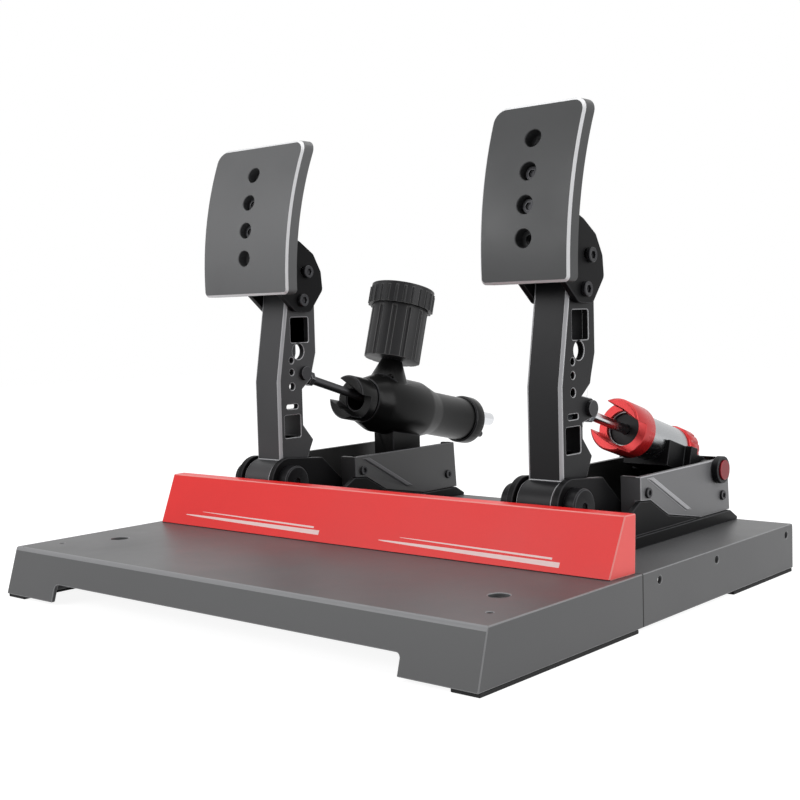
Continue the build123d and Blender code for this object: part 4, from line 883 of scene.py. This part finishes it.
# Painted highlight on the blackened rims.
blackened_rim_highlight = (0.2, 0.2, 0.21)
zinc = finish("zinc_steel", zinc_grey, roughness=0.35, grain=2200.0, metallic=0.9, painted_rim_light=zinc_rim_highlight)
dark_steel = finish(
    "dark_steel", blackened, roughness=0.38, grain=2200.0, metallic=0.8, painted_rim_light=blackened_rim_highlight
)
for side, steel in (("throttle", zinc), ("brake", dark_steel)):
    dress(side + "_link_pin", screw_steel, rim=0.0003)
    dress(side + "_rod_end", steel, rim=0.0004)


# The throttle's rod is ground steel that runs into the damper; the brake's push rod ends in a ball.
# Both screw into their rod ends and are locked by a nut.
dress("throttle_rod", ground_steel, rim=0.0003)
dress("brake_push_rod", dark_steel, rim=0.0)


# The pads are plates cut to a shallow curve, with four counterbored holes, and bolted on curved carriers.
# Their faces are bead blasted and anodised grey, and the bevel round the face is painted light as a
# reflection.
# The brake's pad is painted lighter than the throttle's for the light on it: lit and shaded copies of one
# grey.
brake_pad_lit_grey = (0.088, 0.089, 0.091)
throttle_pad_grey = (0.036, 0.037, 0.038)
pad_edge_reflection = (0.62, 0.62, 0.63)
pad_radius = 0.252
pad_thick = 0.011
pad_tangent = 0.010
pad_flare = 0.0015
pad_corner_low = 0.004
pad_corner_high = 0.0095
pad_bevel = 0.0016
pad_back_bevel = 0.0005
pad_strip = 0.003
pad_first_hole = 0.0283
pad_hole_pitch = 0.0212
pad_holes = 4
pad_hole_sides = 32
pad_hole = 0.006
pad_screw_hole = 0.00325
pad_web = 0.003
pad_hole_bevel = 0.0005
pad_corner_steps = 8
pad_edge_band = 0.006
pad_bevel_forwards = (0.42, 0.9)
cut_slack = 0.000001


def pad_loop(half, bottom, top, inset):
    """Points round the pad's outline, as sideways and upwards places, drawn in by an inset."""
    points = []
    corners = [
        (half - pad_flare, bottom, pad_corner_low, -90),
        (half, top, pad_corner_high, 0),
        (-half, top, pad_corner_high, 90),
        (pad_flare - half, bottom, pad_corner_low, 180),
    ]
    for x, z, radius, start in corners:
        centre_x = x - math.copysign(radius, x)
        centre_z = z + radius if z == bottom else z - radius
        for step in range(pad_corner_steps + 1):
            angle = math.radians(start + step * 90 / pad_corner_steps)
            reach = radius - inset
            points.append((centre_x + reach * math.cos(angle), centre_z + reach * math.sin(angle)))
    return points


def pad_plate(node):
    """A pad's plate, made flat in narrow strips and then bent, with the holes cut square to the curve."""
    low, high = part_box(node)
    middle_x = (low.x + high.x) / 2
    half = (high.x - low.x) / 2
    axis_y = low.y + pad_radius
    axis_z = low.z + pad_tangent
    shape = bmesh.new()
    rings = []
    depths = ((pad_bevel, 0), (0, pad_bevel), (0, pad_thick - pad_back_bevel), (pad_back_bevel, pad_thick))
    for inset, depth in depths:
        loop = pad_loop(half, low.z, high.z, inset)
        rings.append([shape.verts.new((middle_x + x, depth, z)) for x, z in loop])
    shape.faces.new(rings[0])
    shape.faces.new(reversed(rings[-1]))
    for near, far in zip(rings, rings[1:]):
        for index in range(len(near)):
            after = (index + 1) % len(near)
            shape.faces.new((near[index], far[index], far[after], near[after]))
    height = low.z + pad_strip
    while height < high.z:
        everything = shape.verts[:] + shape.edges[:] + shape.faces[:]
        bmesh.ops.bisect_plane(
            shape, geom=everything, dist=cut_slack, plane_co=(0, 0, height), plane_no=(0, 0, 1)
        )
        height += pad_strip
    for vertex in shape.verts:
        up = vertex.co.z - axis_z
        front = axis_y - math.sqrt(pad_radius ** 2 - up ** 2)
        back = axis_y - math.sqrt((pad_radius - pad_thick) ** 2 - up ** 2)
        vertex.co.y = front + (back - front) * vertex.co.y / pad_thick
    bmesh.ops.recalc_face_normals(shape, faces=shape.faces)
    made = placed(node + "_form", as_mesh(node + "_form", shape))
    seat = pad_web - pad_thick
    rings = [
        (0, -2 * pad_thick, 0),
        (pad_screw_hole, -2 * pad_thick, 0),
        (pad_screw_hole, seat, 0),
        (pad_hole, seat, 0),
        (pad_hole, -pad_hole_bevel, 0),
        (pad_hole + pad_thick, pad_thick - pad_hole_bevel, 0),
        (0, pad_thick - pad_hole_bevel, 0),
    ]
    cutters = bmesh.new()
    one = turned("pad_cutter", rings, pad_hole_sides)
    for index in range(pad_holes):
        up = low.z + pad_first_hole + index * pad_hole_pitch - axis_z
        tilt = math.asin(up / pad_radius)
        out = Vector((0, -math.cos(tilt), math.sin(tilt)))
        place = Vector((middle_x, axis_y, axis_z)) + out * pad_radius
        at = Matrix.Translation(place) @ out.to_track_quat("Z", "Y").to_matrix().to_4x4()
        copy = one.copy()
        copy.transform(at)
        cutters.from_mesh(copy)
    cutter = placed("pad_cutters", as_mesh("pad_cutters", cutters))
    cut = made.modifiers.new("holes", "BOOLEAN")
    cut.operation = "DIFFERENCE"
    cut.solver = "EXACT"
    cut.object = cutter
    applied(made)
    bpy.data.objects.remove(cutter)
    return made


def on_bevel(pad):
    """A test for the bevel round a pad's face: faces near its edge that look half forwards, which get the
    painted reflection.
    """
    low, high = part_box(pad)
    least, most = pad_bevel_forwards

    def test(face):
        aside = min(face.center.x - low.x, high.x - face.center.x)
        above = min(face.center.z - low.z, high.z - face.center.z)
        return min(aside, above) < pad_edge_band and least < -face.normal.y < most

    return test


for side, tone in (("throttle", throttle_pad_grey), ("brake", brake_pad_lit_grey)):
    pad = side + "_pad"
    coat = finish(
        pad + "_coat", tone, roughness=0.45, grain=2600.0, metallic=0.3, depth=0.3, drift=0.08,
        painted_rim_light=pad_edge_reflection
    )
    settle(pad_plate(pad), coat, pad, bright=on_bevel(pad))
    dress(side + "_pad_carrier", bracket_coat, rim=0.0005)


# The red collar is an anodised cup round the throttle's rod, slotted across its front into two prongs.
# The brake has the same collar in black, which is turned on the master cylinder's nose.
collar_red = (0.5, 0.016, 0.018)
# Painted highlight on the red collar's rounded rims.
collar_rim_highlight = (0.6, 0.05, 0.05)
cast_black = (0.006, 0.006, 0.006)
# Painted highlight on the black cast pieces' rounded rims.
cast_rim_highlight = (0.03, 0.03, 0.032)
red_anodised = finish(
    "red_anodised", collar_red, roughness=0.3, grain=2500.0, metallic=0.3, depth=0.04,
    painted_rim_light=collar_rim_highlight, shine=0.3
)
cylinder_black = finish(
    "cylinder_black", cast_black, roughness=0.34, grain=1800.0, metallic=0.2, painted_rim_light=cast_rim_highlight,
    shine=0.15
)
dress("throttle_collar", red_anodised, rim=0.0005)
dress("brake_collar", cylinder_black, rim=0.0005)


# The damper is a brushed aluminium tube with a black gland at its mouth, a piston and a coil spring inside.
# A red knurled ring at its rear sets the preload.
tube_bright = (0.4, 0.41, 0.42)
# Painted shade: the tube's rims and end faces are painted darker than the tube.
tube_rim_shade = (0.2, 0.2, 0.205)
tube_lines = (1, 0.08, 1)
piston_bright = (0.55, 0.56, 0.58)
spring_grey = (0.3, 0.3, 0.32)
gland_tone = (0.01, 0.01, 0.011)
tube_metal = finish(
    "tube_metal", tube_bright, roughness=0.3, grain=1500.0, metallic=1.0, depth=0.08, brushed=tube_lines,
    painted_rim_light=tube_rim_shade
)
piston_metal = finish("piston_metal", piston_bright, roughness=0.28, grain=2500.0, metallic=1.0, depth=0.05)
spring_steel = finish("spring_steel", spring_grey, roughness=0.3, grain=2500.0, metallic=1.0, depth=0.05)
gland_black = finish("gland_black", gland_tone, roughness=0.5, grain=2500.0, shine=0.2)
dress("damper_tube", tube_metal, rim=0.0005)
dress("damper_gland", gland_black, rim=0.0004)
dress("damper_adjuster", red_anodised, rim=0.0)


def coat_solid(node, material):
    """Gives a hidden piece its finish and leaves its own shape in place."""
    nodes[node].data.materials.clear()
    nodes[node].data.materials.append(material)


coat_solid("damper_piston", piston_metal)


def coil(node):
    """A spring's coils, dressed in spring steel, with a mesh of their own."""
    made = dress(node, spring_steel, rim=0.0)
    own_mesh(made)


coil("damper_spring")


# The cradle holds the damper's tail on two trunnion pins in the housing's walls, so that the damper can tilt.
# Outside, each pin has a black head with a red button pressed into it.
button_tone = (0.2, 0.008, 0.014)
# Painted highlight on the buttons' rounded rims.
button_rim_highlight = (0.3, 0.03, 0.04)
button_red = finish(
    "button_red", button_tone, roughness=0.32, grain=2500.0, metallic=0.3, painted_rim_light=button_rim_highlight,
    shine=0.3
)
dress("damper_cradle", bracket_coat, rim=0.0006)
dress("trunnion_pins", cap_coat, rim=0.0008, rounds=3)
dress("trunnion_buttons", button_red, rim=0.0005)


# The master cylinder is a black cast and machined body on a foot, with a raised root for the reservoir.
# Its black end cap carries a bright pressure sensor and a black bleed nipple.
sensor_bright = (0.72, 0.73, 0.75)
sensor_metal = finish("sensor_metal", sensor_bright, roughness=0.25, grain=2500.0, metallic=1.0, depth=0.05)
dress("master_cylinder", cylinder_black, rim=0.0008, rounds=3)
dress("cylinder_end_cap", cylinder_black, rim=0.0006)
dress("pressure_sensor", sensor_metal, rim=0.0005)
dress("bleed_nipple", screw_steel, rim=0.0003)


# Inside the bore: an aluminium piston with a ball cup, two rubber seals in its grooves and a return spring.
seal_black = (0.02, 0.02, 0.02)
seal_rubber = finish("seal_rubber", seal_black, roughness=0.7, grain=2500.0)
coat_solid("brake_piston", piston_metal)
coat_solid("piston_seals", seal_rubber)
coil("piston_spring")


# The reservoir is a black plastic pot with shallow flutes, pushed on the cylinder's neck and leaning back.
# Its screwed cap has upright grip ribs, and a rubber diaphragm under it.
pot_black = (0.014, 0.014, 0.015)
# Painted highlight on the rims of the pot's flutes and the cap's ribs.
pot_rim_highlight = (0.1, 0.1, 0.1)
pot_plastic = finish(
    "pot_plastic", pot_black, roughness=0.45, grain=2200.0, depth=0.2, painted_rim_light=pot_rim_highlight, shine=0.25
)
dress("reservoir", pot_plastic, rim=0.0005)
dress("reservoir_cap", pot_plastic, rim=0.0003)
coat_solid("reservoir_diaphragm", seal_rubber)


# The throttle's angle sensor: a nickel plated magnet on the axle's end and a green board that faces it.
# A moulded cable socket sits in the rear wall of each housing.
lacquer_green = (0.02, 0.12, 0.05)
socket_black = (0.016, 0.016, 0.017)
board_green = finish("board_green", lacquer_green, roughness=0.35, grain=2500.0)
socket_plastic = finish("socket_plastic", socket_black, roughness=0.5, grain=2200.0, depth=0.2)
dress("angle_magnet", sensor_metal, rim=0.0002)
dress("angle_sensor_board", board_green, rim=0.0)
for side in ("throttle", "brake"):
    dress(side + "_cable_socket", socket_plastic, rim=0.0004)
